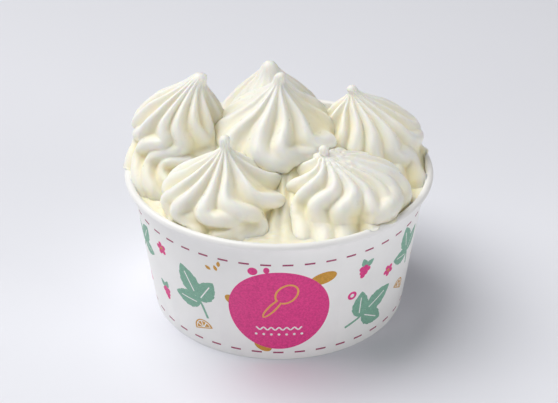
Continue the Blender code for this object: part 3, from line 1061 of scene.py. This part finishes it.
@dataclass
class Filling:
    """The yogurt that fills the cup, with its uneven surface."""

    columns: int = 300
    rings: int = 110
    ring_crowding: float = 0.8
    seed: int = 41
    wall_gap: float = 0.05
    edge_rise: float = 3.2
    edge_from: float = 0.75
    calm_edge: float = 2.0
    calm_reach: float = 8.0
    heap: float = 29.0
    heap_spread: float = 30.0
    top_z: float = 67.0
    top_rise: float = 14.0
    top_reach: float = 16.0
    sways: tuple[tuple[float, float, float], ...] = ((0.5, 3.0, 0.6), (0.35, 5.0, 2.1))
    collar_height: float = 1.5
    collar_width: float = 5.0
    seam_height: float = 7.0
    seam_y: float = -20.0
    seam_reach: float = 14.0
    tongue_at: tuple[float, float] = (2.0, -42.0)
    tongue_size: tuple[float, float] = (12.0, 15.0)
    tongue_height: float = 5.0
    strand_x: float = 4.0
    strand_slant: float = 0.16
    strand_spread: float = 0.022
    strand_width: float = 3.3
    strand_height: float = 0.9
    torn_at: tuple[float, float] = (-21.0, -50.0)
    torn_size: tuple[float, float] = (17.0, 5.0)
    torn_height: float = 0.9
    crumb_size: tuple[float, float, float] = (2.4, 1.1, 1.0)
    wave_size: float = 9.0
    wave_height: float = 0.8
    dimple_size: float = 3.2
    dimple_height: float = 0.3
    # Painted warm bounce light on the bed: a base share, more in dips and next to the swirls.
    bed_bounce: float = 0.6
    bed_bounce_bend: float = 1.5
    bed_bounce_least: float = 0.3
    bed_bounce_reach: float = 5.0

    def surface(self, cup: CupShape, swirls: tuple[PipedSwirl, ...], radius: np.ndarray,
                angle: np.ndarray) -> np.ndarray:
        """Height of the filling's surface.

        Args:
            cup: The cup that holds it.
            swirls: The swirls that it creeps up to.
            radius: Distance from the axis.
            angle: Angle round the axis.

        Returns:
            Heights in millimetres.
        """
        inner = cup.foot_radius + cup.taper * cup.fill_level
        heap = self.heap * np.exp(-(radius / self.heap_spread) ** 2)
        start = self.edge_from * inner
        edge = self.edge_rise * ease((radius - start) / (inner - start))
        uneven = sum(size * np.sin(count * angle + phase) for size, count, phase in self.sways)
        height = cup.fill_level + heap + edge + uneven * ease(radius / inner)
        x = radius * np.cos(angle)
        y = radius * np.sin(angle)
        tongue = np.exp(-((x - self.tongue_at[0]) / self.tongue_size[0]) ** 2
                        - ((y - self.tongue_at[1]) / self.tongue_size[1]) ** 2)
        behind = y - self.seam_y
        fan = x - self.strand_x + self.strand_slant * behind
        fan = fan / (1.0 - self.strand_spread * np.minimum(behind, -self.seam_y))
        strands = np.cos(TURN * fan / self.strand_width)
        height = height + tongue * (self.tongue_height + self.strand_height * strands)
        close = []
        for swirl in swirls:
            reach = np.hypot(x - swirl.foot[0], y - swirl.foot[1]) - swirl.girth
            close.append(np.exp(-(np.maximum(reach, 0.0) / self.collar_width) ** 2))
        close = np.sort(np.stack(close), axis=0)
        seam = self.seam_height * ease(behind / self.seam_reach)
        height = height + self.collar_height * close[-1] + seam * close[-2]
        flat = np.stack([x, y, np.zeros_like(x)], axis=-1)
        torn = np.exp(-((x - self.torn_at[0]) / self.torn_size[0]) ** 2)
        torn = torn * ease((self.torn_at[1] - y) / self.torn_size[1])
        crumbs = grain(flat / self.crumb_size, self.seed + 2)
        height = height + self.torn_height * torn * crumbs
        soft = self.wave_height * grain(flat / self.wave_size, self.seed)
        soft = soft + self.dimple_height * grain(flat / self.dimple_size, self.seed + 1)
        return height + soft * ease((inner + self.calm_edge - radius) / self.calm_reach)

    def build(self, cup: CupShape, swirls: tuple[PipedSwirl, ...],
              finish: bpy.types.Material) -> bpy.types.Object:
        """Make and dress the filling.

        Args:
            cup: The cup that holds it.
            swirls: The swirls that stand in it.
            finish: The yogurt's material.

        Returns:
            The piece.
        """
        angle = TURN * np.arange(self.columns) / self.columns
        edge = float(cup.inside(np.array(cup.fill_level + self.edge_rise))) - self.wall_gap
        radii = edge * np.linspace(0.0, 1.0, self.rings + 1)[1:] ** self.ring_crowding
        grid_angle, grid_radius = np.meshgrid(angle, radii)
        z = self.surface(cup, swirls, grid_radius, grid_angle)
        inward = ease((edge - grid_radius) / self.top_reach)
        z = np.minimum(z, self.top_z + self.top_rise * inward)
        top = np.stack([grid_radius * np.cos(grid_angle), grid_radius * np.sin(grid_angle), z], -1)
        low_radius = float(cup.inside(np.array(cup.fill_bottom))) - self.wall_gap
        low = np.stack([low_radius * np.cos(angle), low_radius * np.sin(angle),
                        np.full_like(angle, cup.fill_bottom)], axis=-1)
        centre_z = float(z[0].mean())
        points = np.vstack([top.reshape(-1, 3), low, [[0.0, 0.0, centre_z]],
                            [[0.0, 0.0, cup.fill_bottom]]])
        faces = grid_faces(self.rings + 1, self.columns)
        close_ends(faces, self.rings + 1, self.columns)
        piece = new_piece("yogurt_bed_filled", points, faces, "yogurt")
        piece.data.materials.append(finish)
        # Painted warm bounce light: more where the bed dips and near the swirls.
        bend = np.gradient(np.gradient(z, axis=0), axis=0)
        painted_bounce = np.clip(self.bed_bounce + self.bed_bounce_bend * bend, self.bed_bounce_least, 1.0)
        for swirl in swirls:
            warm = np.exp(-(swirl.gap_to(top) / self.bed_bounce_reach) ** 2)
            painted_bounce = np.maximum(painted_bounce, warm)
        write_painted_bounce(piece, np.concatenate([painted_bounce.ravel(), np.ones(self.columns), [0.5, 1.0]]))
        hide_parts("yogurt_bed")
        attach(piece, "root")
        LOG.info("%s: %d faces", piece.name, len(piece.data.polygons))
        return piece


class Ink(Enum):
    """Inks of the print, and the bare paper between them."""

    PAPER = 0
    BERRY = 1
    MINT = 2
    MUSTARD = 3
    GOLD = 4
    STITCH = 5
    WHITE = 6


INK_FINISHES: dict[Ink, InkFinish] = {
    Ink.BERRY: InkFinish("berry_ink", (0.74, 0.034, 0.24)),
    Ink.MINT: InkFinish("mint_ink", (0.20, 0.42, 0.31)),
    Ink.MUSTARD: InkFinish("mustard_ink", (0.60, 0.30, 0.028)),
    Ink.GOLD: InkFinish("gold_line_ink", (0.80, 0.38, 0.09), 0.06),
    Ink.STITCH: InkFinish("stitch_ink", (0.33, 0.025, 0.105), 0.08),
    Ink.WHITE: InkFinish("white_ink", (0.82, 0.80, 0.80), 0.04),
}


def oval(x: float, y: float, wide: float, high: float, turn: float = 0.0,
         points: int = 40) -> Outline:
    """Outline of an ellipse.

    Args:
        x: Centre across.
        y: Centre up.
        wide: Full width.
        high: Full height.
        turn: Turn in degrees.
        points: Number of points.

    Returns:
        The outline.
    """
    lean = math.radians(turn)
    result = []
    for index in range(points):
        angle = TURN * index / points
        across = 0.5 * wide * math.cos(angle)
        up = 0.5 * high * math.sin(angle)
        result.append((x + across * math.cos(lean) - up * math.sin(lean),
                       y + across * math.sin(lean) + up * math.cos(lean)))
    return result


def ribbon(line: Outline, width: float) -> Outline:
    """Outline of a line drawn with a pen of some width.

    Args:
        line: Points along the line.
        width: Width of the pen.

    Returns:
        The outline.
    """
    left = []
    right = []
    for index, (x, y) in enumerate(line):
        before = line[max(index - 1, 0)]
        after = line[min(index + 1, len(line) - 1)]
        length = math.hypot(after[0] - before[0], after[1] - before[1])
        nx = -(after[1] - before[1]) / length
        ny = (after[0] - before[0]) / length
        left.append((x + 0.5 * width * nx, y + 0.5 * width * ny))
        right.append((x - 0.5 * width * nx, y - 0.5 * width * ny))
    return left + list(reversed(right))


def placed(outline: Outline, x: float, y: float, turn: float, size: float = 1.0) -> Outline:
    """Turn, scale and move an outline.

    Args:
        outline: The outline.
        x: Move across.
        y: Move up.
        turn: Turn in degrees, anticlockwise.
        size: Scale.

    Returns:
        The moved outline.
    """
    lean = math.radians(turn)
    cos = size * math.cos(lean)
    sin = size * math.sin(lean)
    return [(x + cos * px - sin * py, y + sin * px + cos * py) for px, py in outline]


class Motif(Enum):
    """Small drawings that the print repeats."""

    SPRIG = "sprig"
    BERRIES = "berries"
    BLOSSOM = "blossom"
    SLICE = "slice"
    RING = "ring"
    SEEDS = "seeds"


@dataclass(frozen=True)
class Drawings:
    """The print's small drawings, each about its own centre; millimetres and degrees.

    A size is across and up, and a place is across and up from the centre.
    """

    stem: tuple[tuple[float, float], ...] = ((0.0, -12.0), (0.6, -6.0), (0.2, 1.0))
    stem_width: float = 1.1
    tooth_steps: int = 5
    tooth_depth: float = 0.10
    leaf_belly: float = 0.82
    leaf_roundness: float = 0.8
    leaf_teeth: int = 5
    leaf_size: tuple[float, float] = (14.5, 9.0)
    leaf_places: tuple[tuple[float, float, float, float], ...] = (
        (0.0, 0.0, -1.5, 1.0), (62.0, 0.2, -5.0, 0.86), (-58.0, 0.2, -3.5, 0.9))
    vein: tuple[tuple[float, float], ...] = ((0.0, 2.0), (0.0, 11.0))
    vein_width: float = 0.55
    hull: tuple[float, float] = (5.0, 3.0)
    hull_teeth: int = 3
    hull_z: float = 1.6
    hull_turns: tuple[float, ...] = (32.0, -38.0)
    berry: float = 2.5
    berry_places: tuple[tuple[float, float], ...] = (
        (-1.7, 0.7), (1.7, 0.7), (0.0, 1.6), (-0.9, -1.2), (0.9, -1.2), (0.0, -0.2), (0.0, -2.8))
    petals: int = 5
    petal_size: tuple[float, float] = (2.5, 3.0)
    petal_reach: float = 2.0
    first_petal: float = 12.0
    eye: float = 1.7
    rind: float = 13.0
    pith_size: tuple[float, float] = (10.4, 10.0)
    pith_z: float = 0.7
    wedges: int = 4
    wedge_span: tuple[float, float] = (5.0, 40.0)
    wedge_size: tuple[float, float] = (4.6, 4.4)
    wedge_gap: float = 0.9
    wedge_steps: int = 6
    cut_slack: float = 0.01
    ring: float = 5.4
    ring_hole: float = 2.4
    seed_size: tuple[float, float] = (3.6, 1.9)
    seed_teeth: int = 1
    seed_drop: float = 1.8
    seed_places: tuple[tuple[float, float, float], ...] = (
        (-2.6, 0.4, 25.0), (0.2, -1.0, -10.0), (2.5, 0.9, -35.0))

    def leaf(self, length: float, width: float, teeth: int) -> Outline:
        """Outline of a toothed leaf that grows from the origin upwards.

        Args:
            length: From stalk to tip.
            width: At the widest place.
            teeth: Number of teeth on each side.

        Returns:
            The outline.
        """
        side = []
        steps = teeth * self.tooth_steps
        for index in range(steps + 1):
            share = index / steps
            saw = (index % self.tooth_steps) / (self.tooth_steps - 1.0) - 0.5
            tooth = 1.0 + self.tooth_depth * saw * (0 < index < steps)
            arch = math.sin(math.pi * share ** self.leaf_belly) ** self.leaf_roundness
            side.append((0.5 * width * arch * tooth, length * share))
        mirrored = [(-x, y) for x, y in reversed(side[1:-1])]
        return side + mirrored

    def sprig(self) -> list[tuple[Ink, Outline]]:
        """Draw a stem with three veined leaves.

        Returns:
            Inked outlines, in the order they are printed.
        """
        shapes = [(Ink.MINT, ribbon(list(self.stem), self.stem_width))]
        blade = self.leaf(*self.leaf_size, self.leaf_teeth)
        vein = ribbon(list(self.vein), self.vein_width)
        for turn, x, y, size in self.leaf_places:
            shapes.append((Ink.MINT, placed(blade, x, y, turn, size)))
            shapes.append((Ink.PAPER, placed(vein, x, y, turn, size)))
        return shapes

    def berries(self) -> list[tuple[Ink, Outline]]:
        """Draw a berry of round grains under two small leaves.

        Returns:
            Inked outlines, in the order they are printed.
        """
        hull = self.leaf(*self.hull, self.hull_teeth)
        shapes = [(Ink.MINT, placed(hull, 0.0, self.hull_z, turn)) for turn in self.hull_turns]
        for x, y in self.berry_places:
            shapes.append((Ink.BERRY, oval(x, y, self.berry, self.berry, 0.0, 20)))
        return shapes

    def blossom(self) -> list[tuple[Ink, Outline]]:
        """Draw a ring of petals round an eye.

        Returns:
            Inked outlines, in the order they are printed.
        """
        petal = oval(0.0, self.petal_reach, *self.petal_size, 0.0, 20)
        shapes = []
        for number in range(self.petals):
            turn = 360.0 / self.petals * number + self.first_petal
            shapes.append((Ink.BERRY, placed(petal, 0.0, 0.0, turn)))
        shapes.append((Ink.MUSTARD, oval(0.0, 0.0, self.eye, self.eye, 0.0, 16)))
        return shapes

    def fruit_slice(self) -> list[tuple[Ink, Outline]]:
        """Draw half a slice of fruit: rind, pith and wedges.

        Returns:
            Inked outlines, in the order they are printed.
        """
        z = self.pith_z
        rind = oval(0.0, 0.0, self.rind, self.rind, 0.0, 60)
        pith = oval(0.0, z, *self.pith_size, 0.0, 60)
        shapes = [(Ink.MUSTARD, [point for point in rind if point[1] >= -self.cut_slack]),
                  (Ink.PAPER, [point for point in pith if point[1] >= z - self.cut_slack])]
        wide, tall = self.wedge_size
        for wedge in range(self.wedges):
            turn = 180.0 / self.wedges * wedge
            low, high = (math.radians(turn + part) for part in self.wedge_span)
            middle = 0.5 * (low + high)
            outline = [(self.wedge_gap * math.cos(middle), z + self.wedge_gap * math.sin(middle))]
            for step in range(self.wedge_steps + 1):
                angle = low + (high - low) * step / self.wedge_steps
                outline.append((wide * math.cos(angle), z + tall * math.sin(angle)))
            shapes.append((Ink.MUSTARD, outline))
        return shapes

    def hoop(self) -> list[tuple[Ink, Outline]]:
        """Draw a ring."""
        return [(Ink.BERRY, oval(0.0, 0.0, self.ring, self.ring, 0.0, 32)),
                (Ink.PAPER, oval(0.0, 0.0, self.ring_hole, self.ring_hole, 0.0, 20))]

    def seeds(self) -> list[tuple[Ink, Outline]]:
        """Draw three loose seeds."""
        seed = self.leaf(*self.seed_size, self.seed_teeth)
        return [(Ink.MUSTARD, placed(seed, x, y - self.seed_drop, turn))
                for x, y, turn in self.seed_places]

    def draw(self, motif: Motif) -> list[tuple[Ink, Outline]]:
        """Draw one motif.

        Args:
            motif: Which motif.

        Returns:
            Inked outlines, in the order they are printed.
        """
        makers = {Motif.SPRIG: self.sprig, Motif.BERRIES: self.berries,
                  Motif.BLOSSOM: self.blossom, Motif.SLICE: self.fruit_slice,
                  Motif.RING: self.hoop, Motif.SEEDS: self.seeds}
        return makers[motif]()


@dataclass(frozen=True)
class Stamp:
    """One small drawing on the wall: which, where, its turn in degrees and its scale."""

    motif: Motif
    angle: float
    z: float
    turn: float
    size: float


@dataclass
class CupPrint:
    """The print on the side wall, laid out flat: across in degrees and up in millimetres."""

    reference_radius: float = 63.6
    dash_length: float = 4.65
    dash_width: float = 0.9
    top_row_z: float = 55.1
    top_row_count: int = 44
    top_row_start: float = -4.9
    low_row_z: float = 4.4
    low_row_count: int = 39
    low_row_start: float = -0.3
    disc_z: float = 28.9
    disc_width: float = 45.4
    disc_height: float = 44.6
    wall_foot: float = 59.5
    wall_taper: float = 0.129
    marks: tuple[tuple[Ink, float, float, float, float, float], ...] = (
        (Ink.MUSTARD, 19.0, 17.0, 12.0, 6.4, 14.0),
        (Ink.MUSTARD, -20.5, 4.0, 8.0, 5.0, -30.0),
        (Ink.MUSTARD, -7.5, -20.6, 9.0, 5.6, -32.0),
        (Ink.BERRY, -11.0, 22.3, 4.2, 4.2, 0.0),
        (Ink.BERRY, -5.2, 23.2, 2.6, 3.4, 0.0))
    spoon: tuple[tuple[float, float, float, float], ...] = (
        (0.0, 4.6, 8.6, 11.4), (0.0, -5.6, 3.0, 13.0))
    spoon_at: tuple[float, float] = (0.5, 6.2)
    spoon_turn: float = -38.0
    spoon_line: float = 0.9
    line_start: float = -10.5
    line_pitch: float = 3.5
    wave_z: float = -10.2
    wave_height: float = 0.75
    wave_width: float = 0.75
    wave_step: float = 0.5
    wave_points: int = 43
    dots_z: float = -13.6
    dot_count: int = 7
    dot_size: float = 1.3
    scatter: tuple[Stamp, ...] = (
        Stamp(Motif.SPRIG, -36.0, 31.0, 24.0, 1.18),
        Stamp(Motif.SPRIG, -70.0, 42.0, -38.0, 0.92),
        Stamp(Motif.BERRIES, -55.0, 21.0, 12.0, 1.05),
        Stamp(Motif.BLOSSOM, -53.0, 46.5, 0.0, 1.0),
        Stamp(Motif.SLICE, -33.5, 11.0, 18.0, 0.8),
        Stamp(Motif.RING, -76.0, 16.0, 0.0, 0.9),
        Stamp(Motif.SEEDS, -25.5, 50.0, 30.0, 0.9),
        Stamp(Motif.SPRIG, 40.0, 20.0, -62.0, 1.18),
        Stamp(Motif.SPRIG, 62.0, 42.0, 18.0, 1.0),
        Stamp(Motif.BERRIES, 35.0, 44.0, -14.0, 1.05),
        Stamp(Motif.SLICE, 61.0, 19.0, -30.0, 0.8),
        Stamp(Motif.BLOSSOM, 49.5, 36.5, 20.0, 0.95),
        Stamp(Motif.RING, 30.5, 31.5, 0.0, 0.85),
        Stamp(Motif.SEEDS, 80.0, 27.0, -20.0, 1.0),
        Stamp(Motif.BERRIES, 82.0, 47.0, 20.0, 0.9),
    )
    rear: tuple[Stamp, ...] = (
        Stamp(Motif.SPRIG, 166.0, 30.0, 35.0, 0.95),
        Stamp(Motif.BERRIES, -166.0, 44.0, 0.0, 1.0),
        Stamp(Motif.BLOSSOM, -168.0, 16.0, 0.0, 1.0),
    )
    rear_limit: float = 172.0
    drawings: Drawings = Drawings()

    def stitches(self) -> list[tuple[Ink, Outline]]:
        """Draw the two rows of dashes.

        Returns:
            Inked outlines on the flat wall.
        """
        shapes = []
        rows = ((self.top_row_z, self.top_row_count, self.top_row_start),
                (self.low_row_z, self.low_row_count, self.low_row_start))
        for z, count, start in rows:
            radius = self.wall_foot + self.wall_taper * z
            length = self.dash_length * self.reference_radius / radius
            across = 0.5 * length
            up = 0.5 * self.dash_width
            for index in range(count):
                angle = (start + 360.0 * index / count + 180.0) % 360.0 - 180.0
                x = math.radians(angle) * self.reference_radius
                dash = [(-across, -up), (across, -up), (across, up), (-across, up)]
                shapes.append((Ink.STITCH, placed(dash, x, z, 0.0)))
        return shapes

    def emblem(self) -> list[tuple[Ink, Outline]]:
        """Draw the disc with a plain spoon in outline and a scalloped line below it.

        Returns:
            Inked outlines on the flat wall.
        """
        z = self.disc_z
        shapes = [(ink, oval(x, z + up, wide, high, turn))
                  for ink, x, up, wide, high, turn in self.marks]
        disc = oval(0.0, z, self.disc_width, self.disc_height, 0.0, 96)
        shapes.append((Ink.BERRY, disc))
        for ink, grow in ((Ink.GOLD, self.spoon_line), (Ink.BERRY, -self.spoon_line)):
            for x, y, wide, high in self.spoon:
                part = oval(x, y, wide + grow, high + grow, 0.0, 48)
                shapes.append((ink, placed(part, self.spoon_at[0], z + self.spoon_at[1],
                                           self.spoon_turn)))
        wave = []
        for number in range(self.wave_points):
            along = self.wave_step * number
            sway = self.wave_height * math.cos(along * TURN / self.line_pitch)
            wave.append((self.line_start + along, z + self.wave_z + sway))
        shapes.append((Ink.WHITE, ribbon(wave, self.wave_width)))
        for number in range(self.dot_count):
            x = self.line_start + self.line_pitch * number
            dot = oval(x, z + self.dots_z, self.dot_size, self.dot_size, 0.0, 16)
            shapes.append((Ink.WHITE, dot))
        return shapes

    def stamped(self, stamp: Stamp, angle: float) -> list[tuple[Ink, Outline]]:
        """Draw one motif on the flat wall.

        Args:
            stamp: The motif with its height, turn and scale.
            angle: Where it stands round the cup, in degrees from the front.

        Returns:
            Inked outlines on the flat wall.
        """
        x = math.radians(angle) * self.reference_radius
        return [(ink, placed(outline, x, stamp.z, stamp.turn, stamp.size))
                for ink, outline in self.drawings.draw(stamp.motif)]

    def shapes(self) -> list[tuple[Ink, Outline]]:
        """Draw the whole print, the back like the front's sides.

        Returns:
            Inked outlines on the flat wall, in the order they are printed.
        """
        drawn = self.stitches()
        for stamp in self.scatter:
            for side in (0.0, 180.0):
                angle = (stamp.angle + side + 180.0) % 360.0 - 180.0
                if abs(angle) <= self.rear_limit:
                    drawn += self.stamped(stamp, angle)
        for stamp in self.rear:
            drawn += self.stamped(stamp, stamp.angle)
        return drawn + self.emblem()


@dataclass
class PaperCup:
    """The bowl: its printed side wall, its rolled rim and its base."""

    shape: CupShape = field(default_factory=CupShape)
    design: CupPrint = field(default_factory=CupPrint)
    columns: int = 360
    curl_steps: int = 20
    inner_steps: int = 14
    curl_end: float = -125.0
    foot_tuck: float = 0.08
    foot_round: float = 0.45
    seam_angle: float = 178.0
    seam_edge: float = 0.12
    seam_clear: float = 0.2
    seam_step: float = 0.32
    seam_fade: float = 9.0
    cut_tolerance: float = 1.0e-5
    weld_distance: float = 0.004
    sharp_angle: float = 50.0

    def angles(self) -> np.ndarray:
        """Angles of the wall's columns, with two close together at the seam.

        Returns:
            Angles in degrees from the front, rising from -180.
        """
        even = -180.0 + 360.0 * np.arange(self.columns) / self.columns
        edge = np.array([self.seam_angle - self.seam_edge, self.seam_angle + self.seam_edge])
        clear = even[np.abs(even - self.seam_angle) > self.seam_clear]
        return np.sort(np.concatenate([clear, edge]))

    def swell(self, angle: np.ndarray) -> np.ndarray:
        """Thickness that the glued seam adds, in millimetres.

        Args:
            angle: Angles in degrees from the front.

        Returns:
            The radial step, which fades away from the seam's edge.
        """
        behind = self.seam_angle - angle
        fade = np.clip(1.0 - behind / self.seam_fade, 0.0, 1.0)
        return np.where(behind > 0.0, self.seam_step * fade, 0.0)

    def on_wall(self, angle: np.ndarray, radius: np.ndarray, z: np.ndarray) -> np.ndarray:
        """Place points round the cup.

        Args:
            angle: Angles in degrees from the front.
            radius: Distances from the axis.
            z: Heights.

        Returns:
            Points in millimetres.
        """
        turn = np.radians(angle)
        reach = radius + self.swell(angle)
        return np.stack([reach * np.sin(turn), -reach * np.cos(turn), z], axis=-1)

    def curl(self, radius: float, first: float, last: float, steps: int) -> Outline:
        """Points on the rolled rim's section.

        Args:
            radius: Radius of the curl's face.
            first: First angle in degrees.
            last: Last angle in degrees.
            steps: Number of steps between them.

        Returns:
            Pairs of distance from the axis and height.
        """
        result = []
        for index in range(steps + 1):
            angle = math.radians(first + (last - first) * index / steps)
            result.append((self.shape.curl_r + radius * math.cos(angle),
                           self.shape.curl_z + radius * math.sin(angle)))
        return result

    def section(self) -> Outline:
        """Section of the wall from its foot, up the inside and round the rim.

        Returns:
            Pairs of distance from the axis and height, without the outer face.
        """
        cup = self.shape
        skirt_in = cup.foot_radius - 2.0 * cup.paper - cup.gap
        hem_out = skirt_in - cup.gap
        hem_in = hem_out - cup.paper

        def leaned(radius: float, z: float) -> tuple[float, float]:
            """Lean a foot point out with the wall."""
            return (radius + cup.taper * z, z)

        points = [leaned(cup.foot_radius, cup.foot_edge),
                  leaned(cup.foot_radius - self.foot_tuck, self.foot_round * cup.fold),
                  (cup.foot_radius - cup.fold, 0.0), (hem_in + cup.fold, 0.0),
                  leaned(hem_in, cup.fold), leaned(hem_in, cup.hem_height),
                  leaned(hem_out, cup.hem_height), leaned(hem_out, cup.paper),
                  leaned(cup.foot_radius - cup.paper, cup.paper)]
        for share in (0.25, 0.5, 0.75):
            points.append(leaned(cup.foot_radius - cup.paper, share * cup.curl_z))
        points += self.curl(cup.curl_radius, 180.0, self.curl_end, self.curl_steps)
        points += self.curl(cup.curl_radius - cup.paper, self.curl_end, 180.0, self.inner_steps)
        return points

    def outer_face(self, angles: np.ndarray) -> tuple[np.ndarray, list, list[int]]:
        """Cut the flat wall along every printed outline.

        Args:
            angles: Angles of the wall's columns.

        Returns:
            Flat points, faces, and the number of the ink on each face.
        """
        low = self.shape.foot_edge
        high = self.shape.curl_z
        scale = math.radians(1.0) * self.design.reference_radius
        columns = np.append(angles, 180.0) * scale
        points = [(float(x), z) for x in columns for z in (low, high)]
        edges = [(2 * index, 2 * index + 1) for index in range(len(columns))]
        for row in (0, 1):
            edges += [(2 * index + row, 2 * index + 2 + row) for index in range(len(columns) - 1)]
        inked = self.design.shapes()
        for _, outline in inked:
            start = len(points)
            points += [(float(x), float(z)) for x, z in outline]
            count = len(outline)
            edges += [(start + index, start + (index + 1) % count) for index in range(count)]
        flat, _, faces, *_ = delaunay_2d_cdt([Vector(point) for point in points], edges, [],
                                             0, self.cut_tolerance)
        flat = np.array([tuple(point) for point in flat])
        faces = [list(face) for face in faces]
        middles = np.array([flat[face].mean(axis=0) for face in faces])
        inks = np.zeros(len(faces), dtype=int)
        for ink, outline in inked:
            inks[within(middles, np.array(outline))] = ink.value
        return flat, faces, inks.tolist()

    def build_wall(self, finishes: dict[Ink, bpy.types.Material]) -> bpy.types.Object:
        """Make and dress the printed wall with its rim and foot.

        Args:
            finishes: The material of every ink and of the paper.

        Returns:
            The piece.
        """
        angles = self.angles()
        count = len(angles)
        section = self.section()
        rings = []
        for radius, z in section:
            rings.append(self.on_wall(angles, np.full(count, radius), np.full(count, z)))
        inner = np.array(rings)
        faces = grid_faces(len(section), count)
        inks = [Ink.PAPER.value] * len(faces)
        points = inner.reshape(-1, 3)

        flat, outer_faces, outer_inks = self.outer_face(angles)
        scale = math.radians(1.0) * self.design.reference_radius
        angle = flat[:, 0] / scale
        radius = self.shape.foot_radius + self.shape.taper * flat[:, 1]
        outer = self.on_wall(angle, radius, flat[:, 1])
        start = len(points)
        points = np.vstack([points, outer])
        faces += [[start + corner for corner in face] for face in outer_faces]
        inks += outer_inks

        piece = new_piece("cup_wall_printed", points, faces, "cup")
        for ink in Ink:
            piece.data.materials.append(finishes[ink])
        piece.data.polygons.foreach_set("material_index", inks)
        self.weld(piece)
        piece.data.set_sharp_from_angle(angle=math.radians(self.sharp_angle))
        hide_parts("cup_wall")
        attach(piece, "root")
        LOG.info("%s: %d faces", piece.name, len(piece.data.polygons))
        return piece

    def weld(self, piece: bpy.types.Object) -> None:
        """Join the wall's outer face to its rim and foot.

        Args:
            piece: The wall.
        """
        weld = piece.modifiers.new("weld", "WELD")
        weld.merge_threshold = self.weld_distance * MM
        depsgraph = bpy.context.evaluated_depsgraph_get()
        joined = bpy.data.meshes.new_from_object(piece.evaluated_get(depsgraph))
        piece.modifiers.clear()
        old = piece.data
        piece.data = joined
        bpy.data.meshes.remove(old)

    def dress_base(self, paper: bpy.types.Material) -> None:
        """Give the CAD base its paper.

        Args:
            paper: The paper's material.
        """
        base = frame["nodes"]["cup_base"]
        for slot in base.material_slots:
            slot.material = paper
        LOG.info("cup_base: dressed")

    def build(self) -> None:
        """Make and dress the whole cup."""
        finishes = {Ink.PAPER: PaperFinish().build()}
        for ink, finish in INK_FINISHES.items():
            finishes[ink] = finish.build()
        self.build_wall(finishes)
        self.dress_base(finishes[Ink.PAPER])


def within(places: np.ndarray, outline: np.ndarray) -> np.ndarray:
    """Tell which places lie inside a closed outline.

    Args:
        places: Flat places.
        outline: Corners of the outline.

    Returns:
        True for each place inside.
    """
    inside = np.zeros(len(places), dtype=bool)
    low = outline.min(axis=0)
    high = outline.max(axis=0)
    near = np.nonzero(np.all((places >= low) & (places <= high), axis=1))[0]
    if len(near) == 0:
        return inside
    x = places[near, 0]
    y = places[near, 1]
    crossed = np.zeros(len(near), dtype=bool)
    for first, second in zip(outline, np.roll(outline, -1, axis=0)):
        if first[1] == second[1]:
            continue
        between = (first[1] > y) != (second[1] > y)
        at = first[0] + (y - first[1]) * (second[0] - first[0]) / (second[1] - first[1])
        crossed ^= between & (x < at)
    inside[near] = crossed
    return inside


@dataclass
class Studio:
    """Floor, soft light and the camera at the photograph's angle; lengths in metres."""

    distance: float = 0.65
    elevation: float = 30.68
    aim_z: float = 0.04726
    lens: float = 89.47
    sensor: float = 36.0
    key_place: tuple[float, float, float] = (-1.26, 0.55, 2.58)
    key_size: float = 2.6
    key_power: float = 97.0
    key_colour: Colour = (1.0, 0.99, 0.97)
    fills: tuple[tuple[tuple[float, float, float], float], ...] = (
        ((-0.85, -1.15, 0.34), 3.6), ((1.30, -0.72, 0.34), 7.0))
    fill_size: float = 0.62
    fill_colour: Colour = (1.0, 0.99, 0.975)
    light_aim_z: float = 0.06
    sky: Colour = (0.96, 0.97, 1.0)
    sky_strength: float = 0.09
    floor_half: float = 3.0

    def build_floor(self) -> None:
        """Lay the floor."""
        corners = [[-1.0, -1.0, 0.0], [1.0, -1.0, 0.0], [1.0, 1.0, 0.0], [-1.0, 1.0, 0.0]]
        points = self.floor_half / MM * np.array(corners)
        floor = new_piece("studio_floor", points, [[0, 1, 2, 3]], "studio")
        floor.data.materials.append(FloorFinish().build())

    def hang_light(self, name: str, place: tuple[float, float, float], size: float,
                   power: float, colour: Colour) -> None:
        """Hang one soft square light that faces the cup.

        Args:
            name: Name of the light.
            place: Where it hangs.
            size: Length of its sides.
            power: Its power in watts.
            colour: Colour of its light.
        """
        lamp = bpy.data.lights.new(name, "AREA")
        lamp.size = size
        lamp.energy = power
        lamp.color = colour
        light = bpy.data.objects.new(name, lamp)
        light.location = place
        aim = Vector((0.0, 0.0, self.light_aim_z)) - Vector(place)
        light.rotation_euler = aim.to_track_quat("-Z", "Y").to_euler()
        bpy.context.scene.collection.objects.link(light)

    def build_camera(self) -> None:
        """Set up the camera."""
        lean = math.radians(self.elevation)
        optics = bpy.data.cameras.new("camera")
        optics.sensor_width = self.sensor
        optics.lens = self.lens
        camera = bpy.data.objects.new("camera", optics)
        camera.location = (0.0, -self.distance * math.cos(lean),
                           self.aim_z + self.distance * math.sin(lean))
        camera.rotation_euler = (0.5 * math.pi - lean, 0.0, 0.0)
        bpy.context.scene.collection.objects.link(camera)
        bpy.context.scene.camera = camera

    def build_sky(self) -> None:
        """Light everything evenly from all round."""
        world = bpy.data.worlds.new("studio_sky")
        world.use_nodes = True
        back = world.node_tree.nodes["Background"]
        back.inputs["Color"].default_value = (*self.sky, 1.0)
        back.inputs["Strength"].default_value = self.sky_strength
        bpy.context.scene.world = world

    def build(self) -> None:
        """Set up the whole studio."""
        self.build_floor()
        self.hang_light("key", self.key_place, self.key_size, self.key_power, self.key_colour)
        for index, (place, power) in enumerate(self.fills):
            self.hang_light(f"fill_{index}", place, self.fill_size, power, self.fill_colour)
        self.build_camera()
        self.build_sky()
        bpy.context.scene.view_settings.view_transform = "Standard"


def main() -> None:
    """Build the pieces in order."""
    logging.basicConfig(level=logging.INFO, format="%(name)s %(message)s")
    cup = PaperCup()
    cup.build()
    yogurt = YogurtFinish().build()
    topping = Topping()
    Filling().build(cup.shape, topping.swirls, yogurt)
    topping.build(cup.shape, yogurt)
    Studio().build()


if __name__ == "__main__":
    main()
